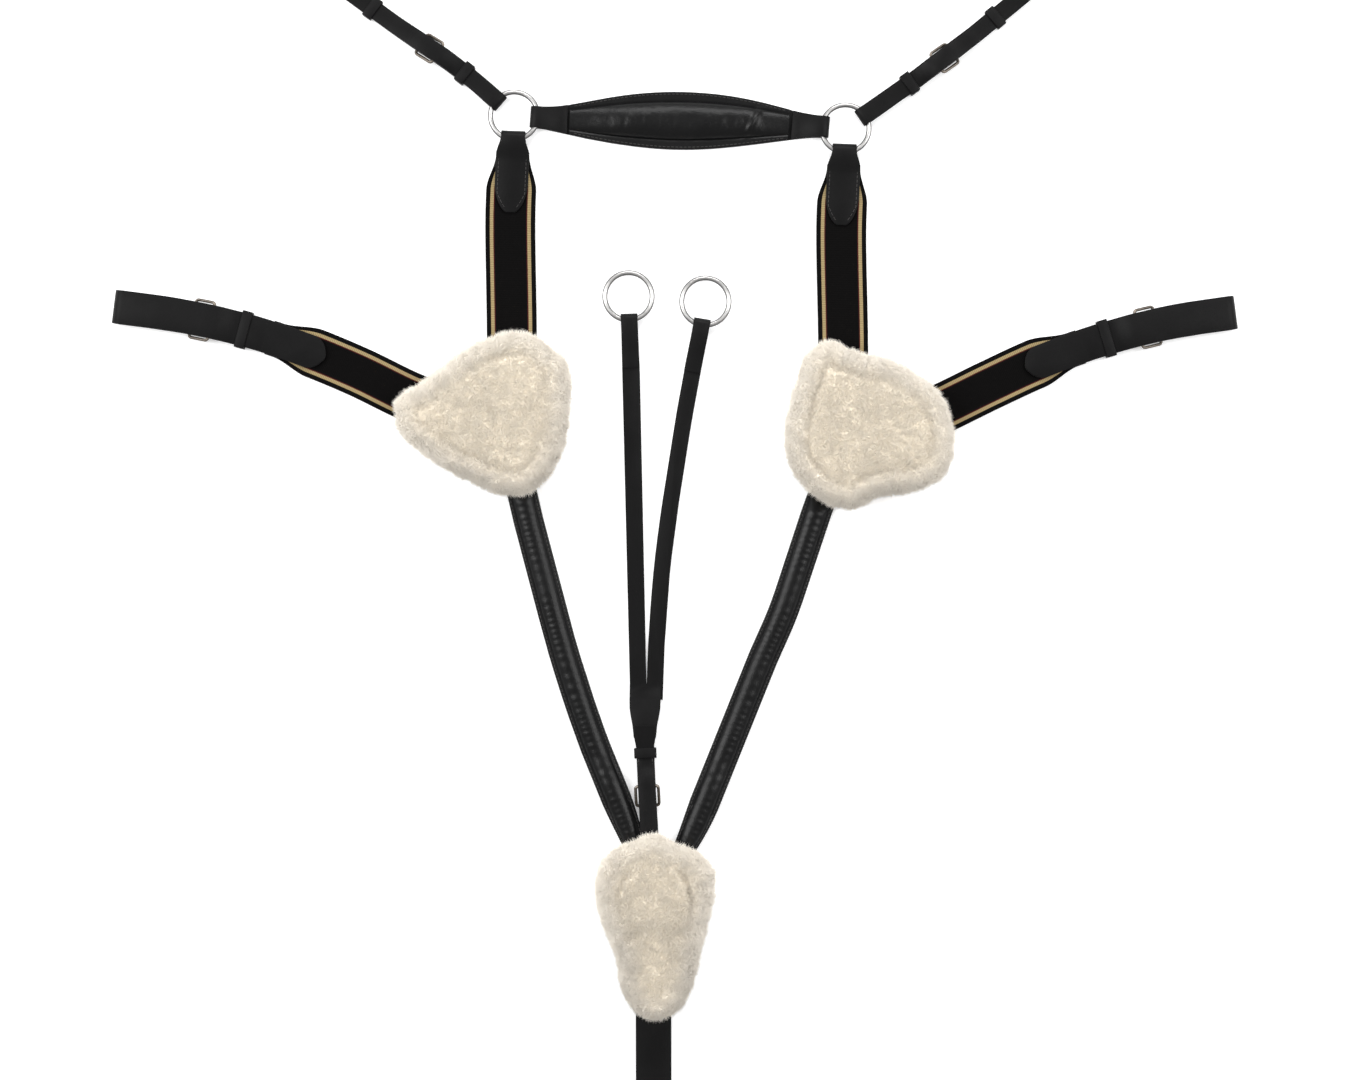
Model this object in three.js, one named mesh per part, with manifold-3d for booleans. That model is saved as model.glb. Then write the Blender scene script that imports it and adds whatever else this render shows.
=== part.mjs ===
// A horse's five-point breastplate with a running-martingale fork, laid out flat.
// Millimetres, +Z up, +Y towards the neck. The outer face lies on the ground and the sheepskin faces up.
// Every place is measured from the centre of the chest ring until the whole group is centred at the end.
import * as THREE from "three";
import { mergeVertices } from "three/addons/utils/BufferGeometryUtils.js";
import Module from "manifold-3d";

const wasm = await Module();
wasm.setup();

// ---- Driving dimensions ----
const LEAF = 1.8; // leather and webbing thickness
const GAP = 0.35; // air between two layers that are sewn together
const PLAY = 0.3; // least clearance round a ring's or a buckle's wire
const STEP = LEAF + GAP; // from one layer's middle to the next
const GROUND = LEAF / 2; // middle of a layer that lies on the ground

const SMALL_RING = { radius: 21.25, wire: 4.5 }; // neck and martingale rings, 38 mm inside
const LARGE_RING = { radius: 27.5, wire: 5 }; // shoulder and chest rings, 50 mm inside

const NECK_RINGS = { left: [-125.6, 709.6], right: [171.9, 698] };
const SHOULDER_RINGS = { left: [-128.7, 423.9], right: [169.2, 409.5] };
const CHEST_RING = [0, 0];

const ELASTIC_WIDTH = 45;
const NECK_CHAPE = { nose: 21.6, width: 30, shoulder: 35, length: 88, point: 30 };
const SHOULDER_CHAPE = { nose: 20, width: 30, shoulder: 42, length: 84, point: 15 };
const TIP_STEP = 1.2; // between the stations of a rounded tip

const WITHER_END_WIDTH = 19;
const WITHER_MIDDLE_WIDTH = 52;
const WITHER_CHANNEL = 30;
const WITHER_PADDING = 8;
const WITHER_LAP = 48;

const PADDED_STRAP_WIDTH = 27;
const PADDED_STRAP_CHANNEL = 13;
const PADDED_STRAP_PADDING = 5;
const PADDED_SHOULDER_EYE = 20;
const PADDED_CHEST_EYE = 16;
const PADDED_LAP = 44;
const PADDED_TAPER = 104; // the strap narrows over this length to share the chest ring
const FACING_LEAF = 1.2;

const SADDLE_STRAP_WIDTH = 16;
const SIDE_LOOP_WIDTH = 30;
const SIDE_TAB = 181; // from the shoulder ring's centre to the leather tab's tip
const SIDE_CHAPE = 72; // length of a girth buckle's chape behind its heel bar
const SIDE_LOOP_END = 375;
const SIDE_LOOP_OPENING = 70; // from the front bar to the loop's end
const BELLY_WIDTH = 32;
const BELLY_EYE = 22;
const BELLY_END = 425;
const BELLY_OPENING = 75;
const BELLY_LAP = 30;

const RUNNER_TRAVEL = 14;
const SADDLE_LOOP = 5; // radius of the saddle strap's end

const ARM_WIDTH = 15;
const ARM_LAP = 64; // from the martingale ring's centre to the end of the stitched turn-back
const FORK_THROAT = 28;
const TAIL_WIDTH = 20;
const TAIL_BILLET = 16;
const TAIL_SEAM = 151; // from the chest ring's centre to the fold between the tail and the fork
const TAIL_HEEL = 43; // from the seam to the buckle's heel bar
const TAIL_LOOP = 8; // from the chest ring's centre to the end of the tail's loop

const BUCKLE_WIRE = 3;
const BUCKLE_LENGTH = 18; // between the two bars, along the strap
const TONGUE = { width: 3, thickness: 1.6, slot: 4.2 };
const KEEPER = { length: 9, thickness: 1.5, side: 0.5 };

const FLEECE = 22; // pile height over a pad's leather
const FLEECE_RIM = 8; // how far the pile overhangs the leather
const LIFT_REACH = 112; // the padded straps stay off the ground this far from the chest ring, over the tail

// ---- Levels that follow from them ----
const KEEPER_LEVELS = [0, 1, 2, 3].map((n) => KEEPER.thickness + PLAY + GROUND + n * STEP);
const FRONT_BAR_LEVEL = TONGUE.thickness + PLAY + BUCKLE_WIRE / 2;
const BILLET_LEVEL = FRONT_BAR_LEVEL + BUCKLE_WIRE / 2 + PLAY + GROUND;
const HEEL_EYE = BUCKLE_WIRE / 2 + PLAY + GROUND; // radius of the leather round the heel bar
const HEEL_BAR_LEVEL = BILLET_LEVEL + STEP + HEEL_EYE;
const RUN_LEVEL = HEEL_BAR_LEVEL + HEEL_EYE + STEP; // a strap that passes over its own buckle
const RING_LEVEL = GROUND + eyeRadius(SMALL_RING, NECK_CHAPE.nose);
const CHEST_LEVEL = (RUN_LEVEL + GROUND) / 2; // the chest ring hangs in the middle of the tail's loop

const COLOURS = {
  leather: [0x141313, 0.5, 0],
  softLeather: [0x1a1918, 0.42, 0],
  elastic: [0x17140f, 0.85, 0],
  fleece: [0xe9e1cd, 0.95, 0],
  nickel: [0xc9c9cc, 0.22, 1],
  antique: [0x6f665c, 0.4, 1],
};

// ---- Making solids ----
// How far from its centre a ring's wire reaches, least and most, inside a strap of this width.
function wireReach(ring, width) {
  const inside = ring.radius - ring.wire / 2;
  return [Math.sqrt(inside ** 2 - (width / 2) ** 2), ring.radius + ring.wire / 2];
}

// The middle radius of an eye that clears the wire all across the strap.
function eyeRadius(ring, width) {
  const [near, far] = wireReach(ring, width);
  return (far - near) / 2 + PLAY + LEAF / 2;
}

// Where a strap's eye sits along the strap, from the ring's centre.
function eyePlace(ring, width) {
  const [near, far] = wireReach(ring, width);
  return (far + near) / 2;
}

// A course is a smooth line over the ground, measured along its length.
function course(points) {
  const knots = points.map(([x, y]) => new THREE.Vector3(x, y, 0));
  const curve = new THREE.CatmullRomCurve3(knots, false, "centripetal");
  curve.arcLengthDivisions = 600;
  const length = curve.getLength();
  const at = (s) => {
    const share = THREE.MathUtils.clamp(s / length, 0, 1);
    const along = curve.getTangentAt(share);
    const point = curve.getPointAt(share).addScaledVector(along, s - share * length);
    const across = new THREE.Vector3(-along.y, along.x, 0);
    return { point, along, across };
  };
  return { length, at };
}

function shell(vertices, triangles) {
  const geometry = new THREE.BufferGeometry();
  const places = vertices.flatMap((v) => v.toArray());
  geometry.setAttribute("position", new THREE.Float32BufferAttribute(places, 3));
  geometry.setIndex(triangles.flat());
  return geometry;
}

function sideFaces(rows, count) {
  const triangles = [];
  for (let i = 0; i + 1 < rows; i++) {
    for (let j = 0; j < count; j++) {
      const a = i * count + j;
      const b = i * count + ((j + 1) % count);
      triangles.push([a, b, b + count], [a, b + count, a + count]);
    }
  }
  return triangles;
}

// Joins sections of equal count into one closed body whose faces point out.
function loft(sections, cap) {
  const count = sections[0].length;
  const triangles = sideFaces(sections.length, count);
  const last = (sections.length - 1) * count;
  cap.forEach(([a, b, c]) => triangles.push([a, c, b], [last + a, last + b, last + c]));
  return facingOut(shell(sections.flat(), triangles));
}

// The same, with each end closed by a fan round its own middle.
function loftRound(sections) {
  const count = sections[0].length;
  const ends = [sections[0], sections.at(-1)];
  const sum = (ring) => ring.reduce((a, p) => a.add(p), new THREE.Vector3());
  const middles = ends.map((ring) => sum(ring).divideScalar(count));
  const low = sections.length * count;
  const triangles = [];
  for (let j = 0; j < count; j++) {
    const next = (j + 1) % count;
    triangles.push([low, next, j], [low + 1, low - count + j, low - count + next]);
  }
  triangles.push(...sideFaces(sections.length, count));
  return facingOut(shell([...sections.flat(), ...middles], triangles));
}

function facingOut(geometry) {
  const p = geometry.attributes.position;
  const index = geometry.index.array;
  const corner = [0, 1, 2].map(() => new THREE.Vector3());
  let volume = 0;
  for (let i = 0; i < index.length; i += 3) {
    corner.forEach((v, k) => v.fromBufferAttribute(p, index[i + k]));
    volume += corner[0].dot(corner[1].cross(corner[2]));
  }
  if (volume < 0) {
    for (let i = 0; i < index.length; i += 3) {
      [index[i + 1], index[i + 2]] = [index[i + 2], index[i + 1]];
    }
  }
  return geometry;
}

const valueAt = (size, s) => (typeof size === "function" ? size(s) : size);

// A flat strap carried through stations [s, z] of its course.
function ribbon(line, stations, width, thickness = LEAF) {
  const sections = stations.map(([s, z], i) => {
    const [s0, z0] = stations[Math.max(i - 1, 0)];
    const [s1, z1] = stations[Math.min(i + 1, stations.length - 1)];
    const run = Math.hypot(s1 - s0, z1 - z0);
    const { point, along, across } = line.at(s);
    const up = along.clone().multiplyScalar(-(z1 - z0) / run);
    up.z = (s1 - s0) / run;
    const middle = point.clone().setZ(z);
    const half = valueAt(width, s) / 2;
    return [[-1, -1], [1, -1], [1, 1], [-1, 1]].map(([a, b]) =>
      middle.clone().addScaledVector(across, a * half).addScaledVector(up, (b * thickness) / 2));
  });
  return loft(sections, [[0, 1, 2], [0, 2, 3]]);
}

// A padded facing: a flat margin with a rounded channel raised along its middle.
function facing(line, from, to, steps, bottom, width, channel, height) {
  const ROUND = 6;
  const sections = [];
  for (let i = 0; i <= steps; i++) {
    const s = from + ((to - from) * i) / steps;
    const { point, across } = line.at(s);
    const half = valueAt(width, s) / 2;
    const dome = valueAt(channel, s) / 2;
    const rise = valueAt(height, s);
    const outline = [[-half, 0], [half, 0], [half, FACING_LEAF]];
    for (let k = 0; k <= ROUND; k++) {
      const turn = (Math.PI * k) / ROUND;
      outline.push([dome * Math.cos(turn), FACING_LEAF + rise * Math.sin(turn)]);
    }
    outline.push([-half, FACING_LEAF]);
    const low = valueAt(bottom, s);
    sections.push(outline.map(([a, z]) => point.clone().setZ(low + z).addScaledVector(across, a)));
  }
  const corners = sections[0].length;
  const cap = [];
  for (let k = 1; k + 1 < corners; k++) cap.push([0, k, k + 1]);
  return loft(sections, cap);
}

// Stations round an eye or a loop's end, from one angle to another.
function turn(s, z, radius, from, to, steps = 7) {
  const stations = [];
  for (let i = 0; i <= steps; i++) {
    const angle = THREE.MathUtils.degToRad(from + ((to - from) * i) / steps);
    stations.push([s + radius * Math.cos(angle), z + radius * Math.sin(angle)]);
  }
  return stations;
}

// Stations of a smooth rise or fall, both ends included.
function ease(s0, z0, s1, z1, steps = 5) {
  const stations = [];
  for (let i = 0; i <= steps; i++) {
    const t = i / steps;
    stations.push([s0 + (s1 - s0) * t, z0 + (z1 - z0) * t * t * (3 - 2 * t)]);
  }
  return stations;
}

// Level stations, close enough together to follow a bend in the course; the first end is left out.
function level(s0, s1, z, spacing = 22) {
  const steps = Math.max(1, Math.round(Math.abs(s1 - s0) / spacing));
  const stations = [];
  for (let i = 1; i <= steps; i++) stations.push([s0 + ((s1 - s0) * i) / steps, z]);
  return stations;
}

// Widens from a to b between s0 and s1.
const widen = (s, s0, s1, a, b) => THREE.MathUtils.lerp(a, b, THREE.MathUtils.smoothstep(s, s0, s1));

// Rounds a strap's end off towards its tip.
function pointed(s, tip, length, width) {
  const past = THREE.MathUtils.clamp((s - (tip - length)) / length, 0, 1);
  return width * Math.max(Math.sqrt(1 - past * past), 0.12);
}

function solid(geometry) {
  const bare = geometry.clone();
  bare.deleteAttribute("normal");
  bare.deleteAttribute("uv");
  const merged = mergeVertices(bare, 1e-4);
  const vertProperties = merged.attributes.position.array;
  const triVerts = new Uint32Array(merged.index.array);
  return new wasm.Manifold(new wasm.Mesh({ numProp: 3, vertProperties, triVerts }));
}

function fromSolid(body) {
  const { vertProperties, triVerts } = body.getMesh();
  const geometry = new THREE.BufferGeometry();
  geometry.setAttribute("position", new THREE.BufferAttribute(new Float32Array(vertProperties), 3));
  geometry.setIndex([...triVerts]);
  return geometry;
}

const join = (...pieces) => fromSolid(pieces.map(solid).reduce((a, b) => a.add(b)));
const cut = (piece, ...tools) => fromSolid(tools.map(solid).reduce((a, b) => a.subtract(b), solid(piece)));

// Turns a piece made in (across, up, along) axes to its place on a course.
function placed(geometry, line, s) {
  const { point, along, across } = line.at(s);
  const up = new THREE.Vector3(0, 0, 1);
  return geometry.applyMatrix4(new THREE.Matrix4().makeBasis(across, up, along).setPosition(point));
}

const group = new THREE.Group();
function add(name, geometry, finish, [x, y, z] = [0, 0, 0]) {
  const [color, roughness, metalness] = COLOURS[finish];
  const mesh = new THREE.Mesh(geometry, new THREE.MeshStandardMaterial({ color, roughness, metalness }));
  mesh.name = name;
  mesh.position.set(x, y, z);
  group.add(mesh);
}

// ---- Hardware ----
function addRing(name, ring, [x, y], height) {
  add(name, new THREE.TorusGeometry(ring.radius, ring.wire / 2, 8, 28), "nickel", [x, y, height]);
}

// A buckle frame: one wire bent round a rectangle, tilted so that a billet passes over one bar
// and under the other.
function addBuckle(name, line, heel, strapWidth) {
  const wire = BUCKLE_WIRE / 2;
  const half = strapWidth / 2 + wire + 0.8;
  const corner = 2.4;
  const SIDES = 6;
  const drop = FRONT_BAR_LEVEL - HEEL_BAR_LEVEL;
  const length = Math.hypot(BUCKLE_LENGTH, drop);
  const middle = [];
  [[1, 1, 0], [-1, 1, 90], [-1, -1, 180], [1, -1, 270]].forEach(([a, b, start]) => {
    turn(a * (half - corner), (b * length) / 2 - b * corner, corner, start, start + 90, 3)
      .forEach((p) => middle.push(p));
  });
  const centre = new THREE.Vector3(0, (FRONT_BAR_LEVEL + HEEL_BAR_LEVEL) / 2, BUCKLE_LENGTH / 2);
  const over = new THREE.Vector3(1, 0, 0);
  const down = new THREE.Vector3(0, drop, BUCKLE_LENGTH).normalize();
  const face = over.clone().cross(down);
  const vertices = [];
  middle.forEach(([a, b], i) => {
    const before = middle.at(i - 1);
    const after = middle[(i + 1) % middle.length];
    const slope = Math.hypot(after[0] - before[0], after[1] - before[1]);
    const out = [(after[1] - before[1]) / slope, -(after[0] - before[0]) / slope];
    for (let k = 0; k < SIDES; k++) {
      const angle = (2 * Math.PI * (k + 0.5)) / SIDES;
      const reach = (wire * Math.cos(angle)) / Math.cos(Math.PI / 12);
      const point = centre.clone().addScaledVector(over, a + out[0] * reach);
      point.addScaledVector(down, b + out[1] * reach).addScaledVector(face, wire * Math.sin(angle));
      vertices.push(point);
    }
  });
  const triangles = [];
  middle.forEach((_, i) => {
    const next = (i + 1) % middle.length;
    for (let k = 0; k < SIDES; k++) {
      const side = (k + 1) % SIDES;
      triangles.push([i * SIDES + k, next * SIDES + k, next * SIDES + side]);
      triangles.push([i * SIDES + k, next * SIDES + side, i * SIDES + side]);
    }
  });
  add(name, placed(facingOut(shell(vertices, triangles)), line, heel), "antique");
}

// A buckle tongue: a collar that turns on the heel bar and a bent shank whose tip rests on the front bar.
function addTongue(name, line, heel) {
  const inner = BUCKLE_WIRE / 2 + PLAY;
  const outer = inner + TONGUE.thickness * 0.75;
  const ring = new THREE.Shape().absarc(0, HEEL_BAR_LEVEL, outer, 0, 2 * Math.PI);
  ring.holes.push(new THREE.Path().absarc(0, HEEL_BAR_LEVEL, inner, 0, 2 * Math.PI, true));
  const collar = new THREE.ExtrudeGeometry(ring, { depth: TONGUE.width, bevelEnabled: false, curveSegments: 6 });
  collar.translate(0, 0, -TONGUE.width / 2);
  collar.applyMatrix4(new THREE.Matrix4().makeRotationY(-Math.PI / 2));
  const straight = course([[0, 0], [BUCKLE_LENGTH * 2, 0]]);
  const tip = TONGUE.thickness / 2;
  const shank = ribbon(straight, [
    [inner + 0.6, HEEL_BAR_LEVEL - 0.8],
    [BUCKLE_LENGTH * 0.5, BILLET_LEVEL],
    [BUCKLE_LENGTH * 0.78, tip + 1.6],
    [BUCKLE_LENGTH * 0.93, tip + 0.1],
    [BUCKLE_LENGTH + 3.5, tip],
  ], TONGUE.width, TONGUE.thickness);
  const turned = new THREE.Matrix4().makeBasis(
    new THREE.Vector3(0, 0, 1), new THREE.Vector3(1, 0, 0), new THREE.Vector3(0, 1, 0));
  shank.applyMatrix4(turned);
  add(name, placed(join(collar, shank), line, heel), "antique");
}

// A keeper: a leather band round the layers of a buckled strap.
function addKeeper(name, line, s, strapWidth, layers) {
  const inside = strapWidth / 2 + KEEPER.side;
  const outside = inside + KEEPER.thickness;
  const top = KEEPER_LEVELS[0] + (layers - 1) * STEP + GROUND + PLAY;
  const band = new THREE.Shape();
  band.moveTo(-outside, 0).lineTo(outside, 0);
  band.lineTo(outside, top + KEEPER.thickness).lineTo(-outside, top + KEEPER.thickness);
  const hole = new THREE.Path();
  hole.moveTo(-inside, KEEPER.thickness).lineTo(-inside, top).lineTo(inside, top).lineTo(inside, KEEPER.thickness);
  band.holes.push(hole);
  const geometry = new THREE.ExtrudeGeometry(band, { depth: KEEPER.length, bevelEnabled: false });
  add(name, placed(geometry.translate(0, 0, -KEEPER.length / 2), line, s), "leather");
}

// The slot that a tongue works in: narrow across the strap and open right through it.
function slot(line, from, to, low, high) {
  const box = new THREE.BoxGeometry(TONGUE.slot, high - low, to - from);
  return placed(box.translate(0, (low + high) / 2, 0), line, (from + to) / 2);
}

const chapeSlot = (line, heel) =>
  slot(line, heel - HEEL_EYE - 2.5, heel + HEEL_EYE + 2, BILLET_LEVEL + GROUND + 0.1, RUN_LEVEL - GROUND - 0.1);
const billetSlot = (line, heel) => slot(line, heel + 2, heel + 14, 0, HEEL_BAR_LEVEL - HEEL_EYE + 0.6);

// ---- The stretch of strap that every buckle shares, measured back from its heel bar ----
const STACK = { bar: 3, near: 23, keeper: 29.5, tip: 35.5, far: 36, settle: 50 };

// Leather folded round the heel bar: in along the lower leaf, round the bar, back along the upper one.
function chapeStations(heel) {
  return [
    ...ease(heel - STACK.near, KEEPER_LEVELS[1], heel - STACK.bar, HEEL_BAR_LEVEL - HEEL_EYE),
    ...turn(heel, HEEL_BAR_LEVEL, HEEL_EYE, -85, 85, 6),
    ...ease(heel - STACK.bar, HEEL_BAR_LEVEL + HEEL_EYE, heel - STACK.near, KEEPER_LEVELS[2]),
  ];
}

// The billet comes back along the ground, over the front bar, under the heel bar and through the keeper.
function billetStations(heel, start) {
  const front = heel + BUCKLE_LENGTH;
  return [
    ...level(start, front + 16, GROUND),
    ...ease(front + 16, GROUND, front, BILLET_LEVEL, 5).slice(1),
    [heel, BILLET_LEVEL],
    ...ease(heel - STACK.bar, BILLET_LEVEL, heel - STACK.near, KEEPER_LEVELS[0]),
    ...level(heel - STACK.near, heel - STACK.tip, KEEPER_LEVELS[0], 8),
  ];
}

// ---- Courses ----
const from = (place, towards, distance) => {
  const step = Math.hypot(...towards);
  return [place[0] + (towards[0] * distance) / step, place[1] + (towards[1] * distance) / step];
};
const WITHER_LINE = [NECK_RINGS.right[0] - NECK_RINGS.left[0], NECK_RINGS.right[1] - NECK_RINGS.left[1]];
const DOWN = [WITHER_LINE[1], -WITHER_LINE[0]]; // square to the line through both neck rings

const LINES = {
  left: {
    upper: course([NECK_RINGS.left, from(NECK_RINGS.left, DOWN, 45), from(NECK_RINGS.left, DOWN, 90),
      [-127.8, 508.5], SHOULDER_RINGS.left]),
    side: course([SHOULDER_RINGS.left, [-172, 439], [-218.7, 457], [-266.4, 480], [-315, 500],
      [-363.6, 516], [-426.6, 530], [-500, 540]]),
    padded: course([SHOULDER_RINGS.left, [-118.8, 370.8], [-99, 292.5], [-79.2, 220.5], [-55.8, 150.3],
      [-38.7, 108], [-19.8, 60.3], CHEST_RING]),
    saddle: course([NECK_RINGS.left, from(NECK_RINGS.left, [-0.76, 0.65], 60),
      from(NECK_RINGS.left, [-0.79, 0.61], 120),
      from(NECK_RINGS.left, [-0.8, 0.6], 260)]),
    arm: course([[-22.9, 547.4], [-21.8, 515], [-20.3, 482.4], [-16.7, 310.5], [-14.9, 236.7], [-14, 185]]),
  },
  right: {
    upper: course([NECK_RINGS.right, from(NECK_RINGS.right, DOWN, 45), from(NECK_RINGS.right, DOWN, 90),
      [170.1, 499.5], SHOULDER_RINGS.right]),
    side: course([SHOULDER_RINGS.right, [212, 426], [257.4, 446], [302.4, 468], [348.3, 489],
      [401.4, 508], [464.4, 524], [545, 536]]),
    padded: course([SHOULDER_RINGS.right, [150.3, 364.5], [134.1, 316.8], [116.1, 263.7], [95.4, 216],
      [73.8, 162], [53.1, 110.7], [34.2, 65.7], CHEST_RING]),
    saddle: course([NECK_RINGS.right, from(NECK_RINGS.right, [0.82, 0.57], 60),
      from(NECK_RINGS.right, [0.81, 0.58], 120),
      from(NECK_RINGS.right, [0.79, 0.61], 260)]),
    arm: course([[46.2, 542.7], [41.5, 515], [34.9, 482.4], [22.5, 411.3], [8.1, 310.5], [2.3, 236.7],
      [0.4, 185]]),
  },
};
const WITHER = course([NECK_RINGS.left, [-77, 706.5], [-14.4, 706], [15.3, 705.6], [74.7, 704.5],
  [111.6, 702.5],
  NECK_RINGS.right]);
const BELLY = course([CHEST_RING, [-0.5, -60], [-0.3, -160], [0, -300], [0, -460]]);
const TAIL = course([[-7.7, 210], [-8.1, 150], [-6, 100], [-4.2, 62], [-2, 30], CHEST_RING]);
const TAIL_TOP = TAIL.length - TAIL_SEAM;
const SADDLE_PLACES = {
  left: { heel: 88, runner: 160, end: 230 },
  right: { heel: 100, runner: 168, end: 245 },
};

// ---- Wither strap: a crest strap between the neck rings with a raised, padded channel ----
function witherWidth(s) {
  const offset = Math.min(Math.abs(s - WITHER.length / 2) / (WITHER.length / 2 - 24), 1);
  return WITHER_END_WIDTH + (WITHER_MIDDLE_WIDTH - WITHER_END_WIDTH) * (1 - offset ** 2) ** 1.4;
}

function addWither() {
  const eye = eyePlace(SMALL_RING, WITHER_END_WIDTH);
  const radius = eyeRadius(SMALL_RING, WITHER_END_WIDTH);
  const first = [
    ...ease(WITHER_LAP, GROUND + STEP, eye, RING_LEVEL + radius),
    ...turn(eye, RING_LEVEL, radius, 90, 270).slice(1),
    ...ease(eye, RING_LEVEL - radius, eye + 12, GROUND, 3).slice(1),
  ];
  const mirrored = first.map(([s, z]) => [WITHER.length - s, z]).reverse();
  const middle = level(eye + 12, WITHER.length - eye - 12, GROUND, 11).slice(0, -1);
  add("wither_strap", ribbon(WITHER, [...first, ...middle, ...mirrored], witherWidth), "softLeather");
  const start = WITHER_LAP + 2;
  const end = WITHER.length - WITHER_LAP - 2;
  const swell = (s) => Math.sin((Math.PI * (s - start + 6)) / (end - start + 12)) ** 0.6;
  add("wither_lining", facing(WITHER, start, end, 16, GROUND + LEAF / 2 + GAP, witherWidth,
    (s) => Math.min(WITHER_CHANNEL * swell(s), witherWidth(s) - 6), (s) => WITHER_PADDING * swell(s)), "softLeather");
}

// ---- A leather chape folded round a ring, with the elastic sewn between its leaves ----
function chape(line, ring, height, size, backwards) {
  const eye = eyePlace(ring, size.nose);
  const radius = eyeRadius(ring, size.nose);
  const place = ([s, z]) => [backwards ? line.length - s : s, z];
  const stations = [
    ...level(size.length, size.length - size.point, GROUND + 2 * STEP, TIP_STEP),
    ...level(size.length - size.point, eye + 22, GROUND + 2 * STEP),
    ...ease(eye + 22, GROUND + 2 * STEP, eye, height + radius).slice(1),
    ...turn(eye, height, radius, 90, 270).slice(1),
    ...ease(eye, height - radius, eye + 12, GROUND, 3).slice(1),
    ...level(eye + 12, size.length - size.point, GROUND),
    ...level(size.length - size.point, size.length - 0.2, GROUND, TIP_STEP),
  ];
  const width = (s) => {
    const along = backwards ? line.length - s : s;
    const sides = widen(along, eye, size.shoulder, size.nose, size.width);
    return pointed(along, size.length, size.point, sides);
  };
  return ribbon(line, stations.map(place), width);
}

const elasticWidth = (along, size) => widen(along, size.shoulder, size.shoulder + 32, size.width, ELASTIC_WIDTH);

// Over the buckle, out to the loop's end, round it and back through the buckle.
function loopStations(heel, end, startLevel) {
  const radius = (RUN_LEVEL - GROUND) / 2;
  return [
    ...ease(heel - STACK.settle, startLevel, heel - STACK.far, KEEPER_LEVELS[3], 4).slice(1),
    ...level(heel - STACK.far, heel - STACK.near, KEEPER_LEVELS[3]),
    ...ease(heel - STACK.near, KEEPER_LEVELS[3], heel - STACK.bar, RUN_LEVEL).slice(1),
    ...level(heel - STACK.bar, end - radius, RUN_LEVEL, 12),
    ...turn(end - radius, GROUND + radius, radius, 90, -90, 10).slice(1),
    ...billetStations(heel, end - radius),
  ];
}

// The separate leather that holds a buckle under its strap, its two leaves sewn together behind the keeper.
function buckleChape(line, heel, end, width) {
  const folded = [
    [end, GROUND],
    ...level(end, heel - STACK.settle, GROUND),
    ...ease(heel - STACK.settle, GROUND, heel - STACK.far, KEEPER_LEVELS[1], 4).slice(1),
    ...chapeStations(heel),
    ...level(heel - STACK.near, heel - STACK.far, KEEPER_LEVELS[2]),
    ...ease(heel - STACK.far, KEEPER_LEVELS[2], heel - STACK.settle, GROUND + STEP, 4).slice(1),
    ...level(heel - STACK.settle, end, GROUND + STEP),
  ];
  return cut(ribbon(line, folded, width), chapeSlot(line, heel));
}

function addBuckleSet(name, line, heel, width, layers) {
  addBuckle(`${name}_buckle`, line, heel, width);
  addTongue(`${name}_tongue`, line, heel);
  addKeeper(`${name}_keeper`, line, heel - STACK.keeper, width, layers);
}

// ---- Side strap: an elastic from the shoulder ring that ends in an adjustable girth loop ----
function addSideStrap(side) {
  const line = LINES[side].side;
  const heel = SIDE_LOOP_END - SIDE_LOOP_OPENING - BUCKLE_LENGTH;
  const chapeEnd = heel - SIDE_CHAPE;
  addRing(`${side}_shoulder_ring`, LARGE_RING, SHOULDER_RINGS[side], RING_LEVEL);
  add(`${side}_side_chape`, chape(line, LARGE_RING, RING_LEVEL, SHOULDER_CHAPE, false), "leather");
  const start = eyePlace(LARGE_RING, SHOULDER_CHAPE.nose) + 13;
  const elastic = [
    [start, GROUND + STEP],
    ...level(start, SIDE_TAB - 20, GROUND + STEP),
    ...ease(SIDE_TAB - 20, GROUND + STEP, chapeEnd - 4, GROUND + 2 * STEP).slice(1),
    ...level(chapeEnd - 4, heel - STACK.settle - 3, GROUND + 2 * STEP),
  ];
  add(`${side}_side_elastic`, ribbon(line, elastic, (s) => elasticWidth(s, SHOULDER_CHAPE)), "elastic");
  const run = [
    ...level(SIDE_TAB - 4, SIDE_TAB + SIDE_LOOP_WIDTH / 2, GROUND + 3 * STEP, 3),
    ...level(SIDE_TAB + SIDE_LOOP_WIDTH / 2, heel - STACK.settle, GROUND + 3 * STEP),
    ...loopStations(heel, SIDE_LOOP_END, GROUND + 3 * STEP),
  ];
  const width = (s) => pointed(2 * SIDE_TAB - s, SIDE_TAB, SIDE_LOOP_WIDTH / 2, SIDE_LOOP_WIDTH);
  add(`${side}_girth_loop`, cut(ribbon(line, run, width), billetSlot(line, heel)), "leather");
  add(`${side}_girth_chape`, buckleChape(line, heel, chapeEnd, SIDE_LOOP_WIDTH), "leather");
  addBuckleSet(`${side}_girth`, line, heel, SIDE_LOOP_WIDTH, 4);
}

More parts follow.
